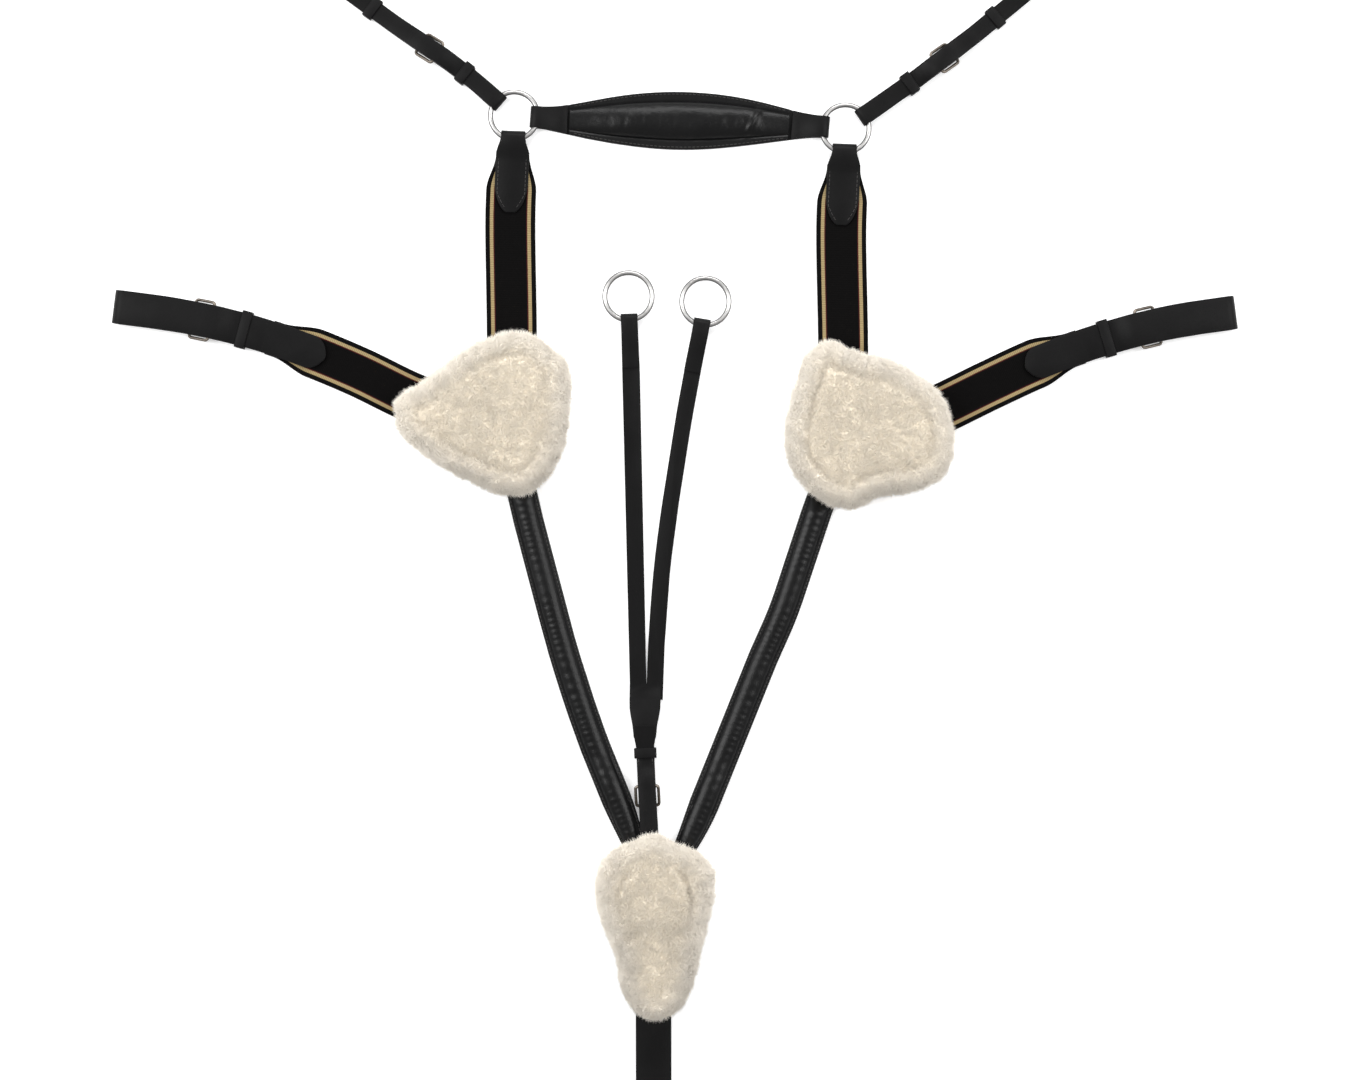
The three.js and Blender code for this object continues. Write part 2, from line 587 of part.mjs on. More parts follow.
function addUpperStraps(side) {
  const { upper } = LINES[side];
  addRing(`${side}_neck_ring`, SMALL_RING, NECK_RINGS[side], RING_LEVEL);
  add(`${side}_neck_chape`, chape(upper, SMALL_RING, RING_LEVEL, NECK_CHAPE, false), "leather");
  const start = eyePlace(SMALL_RING, NECK_CHAPE.nose) + 13;
  const end = upper.length - eyePlace(LARGE_RING, SHOULDER_CHAPE.nose) - 13;
  const stations = [[start, GROUND + STEP], ...level(start, end, GROUND + STEP, 16)];
  add(`${side}_upper_elastic`, ribbon(upper, stations, (s) =>
    Math.min(elasticWidth(s, NECK_CHAPE), elasticWidth(upper.length - s, SHOULDER_CHAPE))), "elastic");
  add(`${side}_upper_chape`, chape(upper, LARGE_RING, RING_LEVEL, SHOULDER_CHAPE, true), "leather");
}

// ---- Padded strap: from the shoulder ring to the chest ring, a leaf with a padded facing on it ----
function addPaddedStrap(side) {
  const line = LINES[side].padded;
  const total = line.length;
  const eyeOf = (width) => ({ eye: eyePlace(LARGE_RING, width), radius: eyeRadius(LARGE_RING, width) });
  const top = eyeOf(PADDED_SHOULDER_EYE);
  const low = eyeOf(PADDED_CHEST_EYE);
  const lifted = CHEST_LEVEL - low.radius;
  const leafLevel = (s) => widen(total - s, LIFT_REACH, LIFT_REACH + 35, lifted, GROUND);
  const width = (s) => Math.min(
    widen(s, top.eye + 4, PADDED_LAP, PADDED_SHOULDER_EYE, PADDED_STRAP_WIDTH),
    widen(total - s, low.eye + 4, PADDED_TAPER, PADDED_CHEST_EYE, PADDED_STRAP_WIDTH));
  const between = level(top.eye + 12, total - low.eye - 4, 0, 10).map(([s]) => [s, leafLevel(s)]);
  const stations = [
    ...ease(PADDED_LAP - 2, GROUND + STEP, top.eye, RING_LEVEL + top.radius),
    ...turn(top.eye, RING_LEVEL, top.radius, 90, 270).slice(1),
    ...ease(top.eye, RING_LEVEL - top.radius, top.eye + 12, GROUND, 3).slice(1),
    ...between,
    ...turn(total - low.eye, CHEST_LEVEL, low.radius, -90, 90),
    ...ease(total - low.eye, CHEST_LEVEL + low.radius, total - PADDED_LAP, lifted + STEP).slice(1),
  ];
  add(`${side}_padded_strap`, ribbon(line, stations, width), "leather");
  const start = PADDED_LAP;
  const end = total - PADDED_LAP - 2;
  const swell = (s) => THREE.MathUtils.smoothstep(Math.min(s - start, end - s), -4, 14);
  add(`${side}_padded_facing`, facing(line, start, end, 20, (s) => leafLevel(s) + LEAF / 2 + GAP, width,
    (s) => Math.min(PADDED_STRAP_CHANNEL, width(s) - 4) * (0.4 + 0.6 * swell(s)),
    (s) => PADDED_STRAP_PADDING * (0.2 + 0.8 * swell(s))), "softLeather");
}

// ---- Saddle strap: one strap looped through the neck ring and closed on itself by a buckle ----
function addSaddleStrap(side) {
  const line = LINES[side].saddle;
  const { heel, runner, end } = SADDLE_PLACES[side];
  const eye = eyePlace(SMALL_RING, SADDLE_STRAP_WIDTH);
  const radius = eyeRadius(SMALL_RING, SADDLE_STRAP_WIDTH);
  const front = heel + BUCKLE_LENGTH;
  const loop = SADDLE_LOOP;
  const returnLevel = KEEPER_LEVELS[1];
  const ringSide = heel - STACK.far;
  const stations = [
    ...level(heel - STACK.far - 12, heel - STACK.far, KEEPER_LEVELS[1], 6),
    ...chapeStations(heel),
    ...level(heel - STACK.near, ringSide, KEEPER_LEVELS[2]),
    ...ease(ringSide, KEEPER_LEVELS[2], eye, RING_LEVEL - radius).slice(1),
    ...turn(eye, RING_LEVEL, radius, 270, 90).slice(1),
    ...ease(eye, RING_LEVEL + radius, ringSide, KEEPER_LEVELS[3]).slice(1),
    ...level(ringSide, heel - STACK.near, KEEPER_LEVELS[3]),
    ...ease(heel - STACK.near, KEEPER_LEVELS[3], heel - STACK.bar, RUN_LEVEL).slice(1),
    ...level(heel - STACK.bar, front - 2, RUN_LEVEL),
    ...ease(front - 2, RUN_LEVEL, runner - RUNNER_TRAVEL - 6, returnLevel).slice(1),
    ...level(runner - RUNNER_TRAVEL - 6, runner + RUNNER_TRAVEL + 6, returnLevel),
    ...ease(runner + RUNNER_TRAVEL + 6, returnLevel, end - loop, GROUND + 2 * loop).slice(1),
    ...turn(end - loop, GROUND + loop, loop, 90, -90, 10).slice(1),
    ...ease(end - loop, GROUND, runner + RUNNER_TRAVEL + 6, KEEPER_LEVELS[0], 3).slice(1),
    ...level(runner + RUNNER_TRAVEL + 6, runner - RUNNER_TRAVEL - 6, KEEPER_LEVELS[0]),
    ...ease(runner - RUNNER_TRAVEL - 6, KEEPER_LEVELS[0], front + 1, BILLET_LEVEL, 5).slice(1),
    [heel, BILLET_LEVEL],
    ...ease(heel - STACK.bar, BILLET_LEVEL, heel - STACK.near, KEEPER_LEVELS[0]),
    ...level(heel - STACK.near, heel - STACK.tip, KEEPER_LEVELS[0], 8),
  ];
  const strap = ribbon(line, stations, SADDLE_STRAP_WIDTH);
  add(`${side}_saddle_strap`, cut(strap, chapeSlot(line, heel), billetSlot(line, heel)), "leather");
  addBuckleSet(`${side}_saddle`, line, heel, SADDLE_STRAP_WIDTH, 4);
  addKeeper(`${side}_saddle_runner`, line, runner, SADDLE_STRAP_WIDTH, 2);
}

// ---- Belly strap: from the chest ring between the forelegs, ending in a girth loop ----
function addBellyStrap() {
  const eye = eyePlace(LARGE_RING, BELLY_EYE);
  const radius = eyeRadius(LARGE_RING, BELLY_EYE);
  const heel = BELLY_END - BELLY_OPENING - BUCKLE_LENGTH;
  const chapeEnd = heel - SIDE_CHAPE;
  const stations = [
    ...ease(eye + BELLY_LAP, GROUND + STEP, eye, CHEST_LEVEL + radius),
    ...turn(eye, CHEST_LEVEL, radius, 90, 270).slice(1),
    ...ease(eye, CHEST_LEVEL - radius, eye + 16, GROUND, 4).slice(1),
    ...level(eye + 16, chapeEnd - 24, GROUND),
    ...ease(chapeEnd - 24, GROUND, chapeEnd - 4, GROUND + 2 * STEP, 4).slice(1),
    ...level(chapeEnd - 4, heel - STACK.settle, GROUND + 2 * STEP),
    ...loopStations(heel, BELLY_END, GROUND + 2 * STEP),
  ];
  const width = (s) => widen(s, eye + 4, eye + 26, BELLY_EYE, BELLY_WIDTH);
  add("belly_strap", cut(ribbon(BELLY, stations, width), billetSlot(BELLY, heel)), "leather");
  add("belly_chape", buckleChape(BELLY, heel, chapeEnd, BELLY_WIDTH), "leather");
  addBuckleSet("belly", BELLY, heel, BELLY_WIDTH, 4);
}

// ---- Martingale: a fork cut from one strap, a ring on each arm, and a tail buckled round the chest ring ----
function forkArm(line) {
  const eye = eyePlace(SMALL_RING, ARM_WIDTH);
  const radius = eyeRadius(SMALL_RING, ARM_WIDTH);
  const height = GROUND + radius;
  return ribbon(line, [
    ...ease(ARM_LAP, GROUND + STEP, eye, height + radius),
    ...turn(eye, height, radius, 90, 270).slice(1),
    ...level(eye, line.length, GROUND, 16),
  ], ARM_WIDTH);
}

function addFork() {
  const stations = [
    ...level(0, TAIL_TOP - 48, GROUND, 14),
    ...ease(TAIL_TOP - 48, GROUND, TAIL_TOP - 12, KEEPER_LEVELS[3]).slice(1),
    [TAIL_TOP - GAP, KEEPER_LEVELS[3]],
  ];
  const width = (s) => widen(s, TAIL_TOP - 30, TAIL_TOP - 2, FORK_THROAT, TAIL_WIDTH);
  const throat = ribbon(TAIL, stations, width);
  add("martingale_fork", join(throat, forkArm(LINES.left.arm), forkArm(LINES.right.arm)), "leather");
  for (const side of ["left", "right"]) {
    const { point } = LINES[side].arm.at(0);
    const height = GROUND + eyeRadius(SMALL_RING, ARM_WIDTH);
    addRing(`${side}_martingale_ring`, SMALL_RING, [point.x, point.y], height);
  }
}

function addTail() {
  const heel = TAIL_TOP + TAIL_HEEL;
  const strap = ribbon(TAIL, [
    [TAIL_TOP, KEEPER_LEVELS[3]],
    [heel - STACK.far - 2, KEEPER_LEVELS[3]],
    ...loopStations(heel, TAIL.length - TAIL_LOOP, KEEPER_LEVELS[3]).slice(4),
  ], () => TAIL_BILLET);
  add("martingale_tail", cut(strap, billetSlot(TAIL, heel)), "leather");
  const folded = [
    ...level(heel - STACK.far - 4, heel - STACK.near, KEEPER_LEVELS[1], 6),
    ...chapeStations(heel),
    ...level(heel - STACK.near, heel - STACK.far - 4, KEEPER_LEVELS[2], 6),
  ];
  add("martingale_chape", cut(ribbon(TAIL, folded, TAIL_BILLET), chapeSlot(TAIL, heel)), "leather");
  addBuckleSet("martingale", TAIL, heel, TAIL_BILLET, 4);
  addRing("chest_ring", LARGE_RING, CHEST_RING, CHEST_LEVEL);
}

// ---- Sheepskin pads, each a domed fleece on a leather backing ----
const OUTLINES = {
  left_shoulder: [[-149, 508], [-119, 514], [-93, 501], [-77, 482], [-76, 447], [-84, 403], [-107, 374],
    [-125, 369], [-146, 373], [-195, 398], [-225, 423], [-230, 440], [-228, 455], [-206, 470], [-170, 496]],
  right_shoulder: [[145, 501], [160, 506], [180, 496], [215, 487], [250, 464], [264, 440], [267, 410],
    [258, 386], [233, 373], [202, 368], [173, 357], [142, 370], [122, 396], [118, 427], [128, 470], [134, 489]],
  chest: [[-30, 54], [-18, 60], [0, 65.7], [19, 57.6], [40, 48.6], [53, 32], [52, 9], [48, -10], [38.7, -46],
    [34, -67.5], [22, -89], [-3, -99], [-25, -79], [-33, -43], [-46, -10], [-50.4, 10], [-50, 32], [-38, 50]],
};

// A closed outline drawn smoothly through its points and shrunk by an inset.
function outline(points, inset, count = 33) {
  const knots = points.map(([x, y]) => new THREE.Vector3(x, y, 0));
  const curve = new THREE.CatmullRomCurve3(knots, true, "centripetal");
  const ring = curve.getSpacedPoints(count).slice(0, -1);
  const turns = THREE.ShapeUtils.isClockWise(ring) ? 1 : -1;
  return ring.map((point, i) => {
    const before = ring.at(i - 1);
    const after = ring[(i + 1) % ring.length];
    const along = after.clone().sub(before).normalize();
    return point.clone().add(new THREE.Vector3(along.y * turns, -along.x * turns, 0).multiplyScalar(inset));
  });
}

function stacked(points, layers) {
  const sections = layers.map(([inset, z]) => outline(points, inset).map((p) => p.setZ(z)));
  return loftRound(sections);
}

function addPad(name, bottom) {
  const points = OUTLINES[name];
  const inset = FLEECE_RIM;
  add(`${name}_backing`, stacked(points, [[inset, bottom], [inset, bottom + LEAF]]), "softLeather");
  const low = bottom + LEAF + GAP;
  add(`${name}_fleece`, stacked(points, [
    [FLEECE_RIM * 0.8, low],
    [1.5, low + FLEECE * 0.18],
    [0, low + FLEECE * 0.42],
    [2.5, low + FLEECE * 0.72],
    [8, low + FLEECE * 0.92],
    [17, low + FLEECE],
  ]), "fleece");
}

// ---- The whole breastplate ----
addWither();
for (const side of ["left", "right"]) {
  addUpperStraps(side);
  addSaddleStrap(side);
  addSideStrap(side);
  addPaddedStrap(side);
  addPad(`${side}_shoulder`, RING_LEVEL + eyeRadius(LARGE_RING, SHOULDER_CHAPE.nose) + LEAF / 2 + GAP);
}
addTail();
addFork();
addBellyStrap();
addPad("chest", RUN_LEVEL + LEAF / 2 + GAP);

// The frame's origin is on the ground under the middle of the whole part.
const bounds = new THREE.Box3().setFromObject(group);
const centre = bounds.getCenter(new THREE.Vector3());
group.position.set(-centre.x, -centre.y, -bounds.min.z);

export default group;
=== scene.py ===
"""A horse's five-point breastplate, laid out flat with its sheepskin up, as a Blender add-on."""
import math

import bmesh
import bpy
import numpy as np
from bpy.props import FloatProperty, FloatVectorProperty, IntProperty, PointerProperty
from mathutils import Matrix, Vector, noise


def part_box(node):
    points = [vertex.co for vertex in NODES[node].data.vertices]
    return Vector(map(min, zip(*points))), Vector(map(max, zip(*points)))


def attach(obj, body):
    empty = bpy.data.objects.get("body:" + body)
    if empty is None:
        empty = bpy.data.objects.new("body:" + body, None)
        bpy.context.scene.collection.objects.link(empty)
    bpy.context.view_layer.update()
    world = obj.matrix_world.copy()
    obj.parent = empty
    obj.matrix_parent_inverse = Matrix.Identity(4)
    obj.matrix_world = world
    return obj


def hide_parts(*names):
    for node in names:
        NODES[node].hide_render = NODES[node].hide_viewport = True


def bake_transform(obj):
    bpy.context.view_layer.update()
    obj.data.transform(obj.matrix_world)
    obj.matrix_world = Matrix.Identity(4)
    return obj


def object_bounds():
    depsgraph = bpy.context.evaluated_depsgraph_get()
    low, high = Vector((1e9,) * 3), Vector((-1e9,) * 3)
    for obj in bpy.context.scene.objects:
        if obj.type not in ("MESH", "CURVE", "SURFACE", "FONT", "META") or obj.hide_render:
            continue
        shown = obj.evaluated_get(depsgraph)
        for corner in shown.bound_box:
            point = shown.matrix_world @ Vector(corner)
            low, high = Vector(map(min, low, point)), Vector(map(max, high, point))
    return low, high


bl_info = {
    "name": "Breastplate",
    "version": (1, 0, 0),
    "blender": (4, 5, 0),
    "location": "View3D > Sidebar > Breastplate",
    "description": "Models a five-point breastplate with a martingale fork round its packed frame",
    "category": "Object",
}

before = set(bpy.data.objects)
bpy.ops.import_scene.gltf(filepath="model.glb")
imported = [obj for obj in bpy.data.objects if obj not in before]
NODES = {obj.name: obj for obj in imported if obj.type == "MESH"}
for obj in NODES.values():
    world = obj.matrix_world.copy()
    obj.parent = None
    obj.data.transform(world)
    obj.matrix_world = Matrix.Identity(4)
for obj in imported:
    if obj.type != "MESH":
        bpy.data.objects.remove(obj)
CAD_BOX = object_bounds()
SIDES = ("left", "right")
MM = 0.001
CHAPE_WIDTH = 0.030  # the webbing's width where a chape grips it
CHAPE_TOP = 0.00615  # height of a chape's upper face
CHAPE_SEAM = 0.0124  # a chape's sewing rows from its middle
FACING_THICKNESS = 0.0016  # soft leather of the padded straps, at their edges
PADDED_SWELL = 0.0046  # how far the foam lifts a padded strap's face
CREST_SWELL = 0.0058  # the same for the crest strap's channel
EDGE_SOFTNESS = 0.0009  # how far in a strap's edge is softened
COURSE_SAMPLES = 80  # between two points of a course
PAD_SIDES = 420  # points round a pad's outline
PAD_RINGS = 84  # rings of points from a pad's middle to its outline
FIBRE_RADIUS = 0.00023
FIBRE_CORNERS = (0, 2.094, 4.189)  # angles of the three corners of a fibre's root
VIEW_CENTRE = (18.9, 328.5)  # what the camera looks down on, in millimetres from the chest ring
CAMERA_HEIGHT = 2.869
FLOOR_SIZE = 9.0


def middle(node):
    """The middle of a frame node's box."""
    low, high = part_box(node)
    return (Vector(low) + Vector(high)) / 2


def top_of(node):
    """Height of a frame node's upper face."""
    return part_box(node)[1][2]


CHEST = middle("chest_ring")


def ground_point(x, y):
    """A place on the ground, in millimetres from the middle of the chest ring."""
    return Vector((CHEST.x + x * MM, CHEST.y + y * MM, 0.0))


# ---- Sizes and colours that a user would change ----
class StrapSizes(bpy.types.PropertyGroup):
    """Sizes of straps and sewing."""
    elastic_width: FloatProperty(name="Elastic width", description="Full width of the webbing",
                                 default=0.045, unit="LENGTH")
    stripe_inset: FloatProperty(name="Stripe inset", description="Edge of the webbing to a gold stripe",
                                default=0.0041, unit="LENGTH")
    stripe_width: FloatProperty(name="Stripe width", description="Width of a gold stripe",
                                default=0.0031, unit="LENGTH")
    padded_width: FloatProperty(name="Padded strap width",
                                description="Width of the shoulder to chest straps",
                                default=0.0265, unit="LENGTH")
    stitch_length: FloatProperty(name="Stitch length", description="Length of one stitch",
                                 default=0.0026, unit="LENGTH")
    stitch_pitch: FloatProperty(name="Stitch pitch", description="From one stitch to the next",
                                default=0.0038, unit="LENGTH")
    edge_round: FloatProperty(name="Edge rounding", description="Radius worked on leather edges",
                              default=0.0006, unit="LENGTH")


class PadSizes(bpy.types.PropertyGroup):
    """Sizes of the sheepskin pads."""
    rim: FloatProperty(name="Rim width", description="Width of the rolled edge outside the seam",
                       default=0.019, unit="LENGTH")
    seam_depth: FloatProperty(name="Seam depth", description="How deep the seam pulls the pile in",
                              default=0.0036, unit="LENGTH")
    pile: FloatProperty(name="Pile length", description="Length of the loose fibres",
                        default=0.0062, unit="LENGTH")
    fibres: IntProperty(name="Fibres per pad", description="Number of loose fibres on each pad",
                        default=60000)


class Finishes(bpy.types.PropertyGroup):
    """Base colours of the materials, linear."""
    leather: FloatVectorProperty(name="Leather", description="Bridle leather", subtype="COLOR",
                                 default=(0.0040, 0.0039, 0.0040))
    soft_leather: FloatVectorProperty(name="Soft leather", description="Padded facings and linings",
                                      subtype="COLOR", default=(0.0030, 0.0030, 0.0031))
    webbing: FloatVectorProperty(name="Webbing", description="Elastic ground colour", subtype="COLOR",
                                 default=(0.0024, 0.0022, 0.0022))
    gold: FloatVectorProperty(name="Gold stripe", description="Ribbed stripes of the elastic",
                              subtype="COLOR", default=(0.40, 0.305, 0.155))
    fleece: FloatVectorProperty(name="Sheepskin", description="Pile colour", subtype="COLOR",
                                default=(0.93, 0.865, 0.75))
    thread: FloatVectorProperty(name="Thread", description="Sewing thread", subtype="COLOR",
                                default=(0.04, 0.038, 0.037))


GROUPS = {"breastplate_straps": StrapSizes, "breastplate_pads": PadSizes, "breastplate_finishes": Finishes}


# ---- Shader groups that several materials share ----
def socket_value(node, name, value):
    node.inputs[name].default_value = value


def new_group(name, inputs, outputs):
    """An empty shader group with its named numbers in and out."""
    group = bpy.data.node_groups.new(name, "ShaderNodeTree")
    for label, value in inputs.items():
        socket = group.interface.new_socket(label, in_out="INPUT", socket_type="NodeSocketFloat")
        socket.default_value = value
    for label in outputs:
        group.interface.new_socket(label, in_out="OUTPUT", socket_type="NodeSocketFloat")
    return group, group.nodes.new("NodeGroupInput"), group.nodes.new("NodeGroupOutput")


def math_node(tree, operation, a, b=None):
    """One step of arithmetic on sockets or numbers. Puts out its result."""
    node = tree.nodes.new("ShaderNodeMath")
    node.operation = operation
    for socket, value in zip(node.inputs, (a, b)):
        if value is None:
            continue
        if hasattr(value, "is_linked"):
            tree.links.new(value, socket)
        else:
            socket.default_value = value
    return node.outputs[0]


def cloudy(tree, **values):
    """Cloudy noise over the piece's own space, from 0 to 1."""
    cloud = tree.nodes.new("ShaderNodeTexNoise")
    tree.links.new(tree.nodes.new("ShaderNodeTexCoord").outputs["Object"], cloud.inputs["Vector"])
    for label, value in values.items():
        socket_value(cloud, label, value)
    return cloud.outputs["Fac"]


def strap_map(tree):
    """The strap's own map: X across it from its middle, and Y along it."""
    strap_uv = tree.nodes.new("ShaderNodeUVMap")
    strap_uv.uv_map = "strap"
    split = tree.nodes.new("ShaderNodeSeparateXYZ")
    tree.links.new(strap_uv.outputs["UV"], split.inputs["Vector"])
    return split.outputs


def stretched(tree, value, low, high):
    """Stretches a value from low..high to 0..1."""
    node = tree.nodes.new("ShaderNodeMapRange")
    tree.links.new(value, node.inputs["Value"])
    socket_value(node, "From Min", low)
    socket_value(node, "From Max", high)
    return node.outputs["Result"]


def grain_group():
    """Leather grain: fine pebbles broken by creases. Puts out a height and a tone from 0 to 1."""
    group, start, end = new_group("Leather grain", {"Scale": 900.0, "Creases": 0.4}, ("Height", "Tone"))
    place = group.nodes.new("ShaderNodeTexCoord").outputs["Object"]
    pebble = group.nodes.new("ShaderNodeTexVoronoi")
    pebble.feature = "SMOOTH_F1"
    group.links.new(place, pebble.inputs["Vector"])
    group.links.new(start.outputs["Scale"], pebble.inputs["Scale"])
    crease = cloudy(group, Scale=160.0, Detail=6.0, Distortion=1.2)
    creased = math_node(group, "MULTIPLY", crease, start.outputs["Creases"])
    group.links.new(math_node(group, "ADD", pebble.outputs["Distance"], creased), end.inputs["Height"])
    group.links.new(cloudy(group, Scale=22.0, Detail=4.0), end.inputs["Tone"])
    return group


def wear_group():
    """Edge wear: where the surface is convex and rubbed. Puts out a mask from 0 to 1."""
    group, start, end = new_group("Edge wear", {"Amount": 1.0}, ("Mask",))
    geometry = group.nodes.new("ShaderNodeNewGeometry")
    convex = stretched(group, geometry.outputs["Pointiness"], 0.52, 0.62)
    worn = math_node(group, "MULTIPLY", convex, cloudy(group, Scale=90.0))
    group.links.new(math_node(group, "MULTIPLY", worn, start.outputs["Amount"]), end.inputs["Mask"])
    return group


def weave_group():
    """Plain weave on the strap's own map: ribs across it and warp threads along it."""
    group, start, end = new_group("Weave", {"Ribs": 3900.0, "Warp": 5200.0}, ("Height", "Rib"))
    place = strap_map(group)
    across = math_node(group, "SINE", math_node(group, "MULTIPLY", place["X"], start.outputs["Warp"]))
    along = math_node(group, "SINE", math_node(group, "MULTIPLY", place["Y"], start.outputs["Ribs"]))
    group.links.new(math_node(group, "MULTIPLY", across, along), end.inputs["Height"])
    group.links.new(math_node(group, "MULTIPLY_ADD", along, 0.5), end.inputs["Rib"])
    return group


def make_material(name, **sockets):
    """A material, its node tree and its main shader with the given values."""
    material = bpy.data.materials.new(name)
    material.use_nodes = True
    shader = material.node_tree.nodes["Principled BSDF"]
    for label, value in sockets.items():
        label = label.replace("_", " ").title().replace("Ior", "IOR")
        shader.inputs[label].default_value = value
    return material, material.node_tree, shader


def use_group(tree, group, **values):
    """Places a shader group in a material, with its own values."""
    node = tree.nodes.new("ShaderNodeGroup")
    node.node_tree = group
    for label, value in values.items():
        node.inputs[label].default_value = value
    return node


def blend_colour(tree, mask, first, second, target=None):
    """Mixes two colours by a mask, and leads the result into a socket if one is given."""
    mix = tree.nodes.new("ShaderNodeMix")
    mix.data_type = "RGBA"
    tree.links.new(mask, mix.inputs["Factor"])
    for socket, value in ((mix.inputs["A"], first), (mix.inputs["B"], second)):
        if hasattr(value, "is_linked"):
            tree.links.new(value, socket)
        else:
            socket.default_value = (*value, 1.0)
    if target is not None:
        tree.links.new(mix.outputs["Result"], target)
    return mix.outputs["Result"]


def bump(tree, shader, height, strength, distance):
    """Raises the surface by a height."""
    node = tree.nodes.new("ShaderNodeBump")
    socket_value(node, "Strength", strength)
    socket_value(node, "Distance", distance)
    tree.links.new(height, node.inputs["Height"])
    tree.links.new(node.outputs["Normal"], shader.inputs["Normal"])


def spread(tree, value, low, high, target):
    """Stretches a value from 0..1 to low..high into a socket."""
    node = tree.nodes.new("ShaderNodeMapRange")
    tree.links.new(value, node.inputs["Value"])
    socket_value(node, "To Min", low)
    socket_value(node, "To Max", high)
    tree.links.new(node.outputs["Result"], target)


def leather_material(name, colour, grain, wear, shine, roughness, scale, creases, strength):
    """Dyed leather: grained, a little uneven in tone, and paler where an edge is rubbed."""
    material, tree, shader = make_material(name, specular_ior_level=shine)
    fine = use_group(tree, grain, Scale=scale, Creases=creases)
    worn = use_group(tree, wear, Amount=0.8)
    lighter = tuple(c * 1.6 for c in colour)
    rubbed = tuple(c * 3.0 + 0.006 for c in colour)
    body = blend_colour(tree, fine.outputs["Tone"], colour, lighter)
    blend_colour(tree, worn.outputs["Mask"], body, rubbed, shader.inputs["Base Color"])
    spread(tree, fine.outputs["Tone"], roughness - 0.07, roughness + 0.08, shader.inputs["Roughness"])
    bump(tree, shader, fine.outputs["Height"], strength, 0.0004)
    return material


def webbing_material(finishes, sizes, weave):
    """Black elastic with two ribbed gold stripes, each with a dark red thread on its inner side."""
    material, tree, shader = make_material("Webbing", roughness=0.85, specular_ior_level=0.04)
    woven = use_group(tree, weave)
    out = math_node(tree, "ABSOLUTE", strap_map(tree)["X"])
    edge = sizes.elastic_width / 2 - sizes.stripe_inset

    def band(low, high):
        above = math_node(tree, "GREATER_THAN", out, low)
        return math_node(tree, "MULTIPLY", above, math_node(tree, "LESS_THAN", out, high))

    gold = band(edge - sizes.stripe_width, edge)
    red = band(edge - sizes.stripe_width - 0.0009, edge - sizes.stripe_width)
    dull = tuple(c * 0.55 for c in finishes.gold)
    shade = woven.outputs["Rib"]
    stripe = blend_colour(tree, shade, dull, tuple(finishes.gold))
    ground = blend_colour(tree, shade, tuple(finishes.webbing), tuple(c * 1.9 for c in finishes.webbing))
    lined = blend_colour(tree, red, ground, (0.06, 0.012, 0.012))
    blend_colour(tree, gold, lined, stripe, shader.inputs["Base Color"])
    bump(tree, shader, woven.outputs["Height"], 0.6, 0.0004)
    return material


def metal_material(name, colour, wear, roughness, patina, flank_shade):
    """Cast metal, darker on its flanks: painted shade that deepens as the surface turns away from straight
    up.
    """
    material, tree, shader = make_material(name, metallic=1.0)
    marks = cloudy(tree, Scale=420.0, Detail=5.0)
    spread(tree, marks, roughness * 0.7, roughness * 1.6, shader.inputs["Roughness"])
    dark = tuple(c * (1.0 - patina) for c in colour)
    worn = use_group(tree, wear, Amount=1.0)
    stained = blend_colour(tree, marks, dark, colour)
    bright = tuple(min(1.0, c * 1.15) for c in colour)
    rubbed = blend_colour(tree, worn.outputs["Mask"], stained, bright)
    facing = tree.nodes.new("ShaderNodeSeparateXYZ")
    tree.links.new(tree.nodes.new("ShaderNodeTexCoord").outputs["Normal"], facing.inputs["Vector"])
    # painted shade: surfaces facing sideways take a darkened copy of the colour, and only the upward crown
    # keeps it
    crown = stretched(tree, facing.outputs["Z"], 0.62, 0.99)
    shaded = tuple(c * flank_shade for c in colour)
    blend_colour(tree, crown, shaded, rubbed, shader.inputs["Base Color"])
    bump(tree, shader, marks, 0.12, 0.0002)
    return material


def fleece_material(colour):
    """Cream pile: warmer and darker deep down, whiter on the rolled rim."""
    material, tree, shader = make_material("Sheepskin", roughness=0.95, specular_ior_level=0.12,
                                           sheen_weight=0.35, sheen_roughness=0.6)
    shader.inputs["Sheen Tint"].default_value = (1.0, 0.96, 0.9, 1.0)
    depth = tree.nodes.new("ShaderNodeAttribute")
    depth.attribute_name = "depth"
    tufts = cloudy(tree, Scale=260.0, Detail=6.0)
    warm = tuple(c * k for c, k in zip(colour, (0.97, 0.945, 0.90)))
    pale = tuple(min(1.0, c * k) for c, k in zip(colour, (0.975, 0.99, 1.035)))
    base = blend_colour(tree, tufts, warm, tuple(colour))
    blend_colour(tree, depth.outputs["Fac"], base, pale, shader.inputs["Base Color"])
    bump(tree, shader, tufts, 0.45, 0.0015)
    return material


def thread_material(colour):
    """Twisted sewing thread."""
    material, tree, shader = make_material("Thread", roughness=0.6, specular_ior_level=0.4)
    twist = tree.nodes.new("ShaderNodeTexWave")
    tree.links.new(tree.nodes.new("ShaderNodeTexCoord").outputs["Object"], twist.inputs["Vector"])
    socket_value(twist, "Scale", 900.0)
    lighter = tuple(c * 1.6 for c in colour)
    blend_colour(tree, twist.outputs["Fac"], tuple(colour), lighter, shader.inputs["Base Color"])
    bump(tree, shader, twist.outputs["Fac"], 0.3, 0.0002)
    return material


MATERIALS = {}


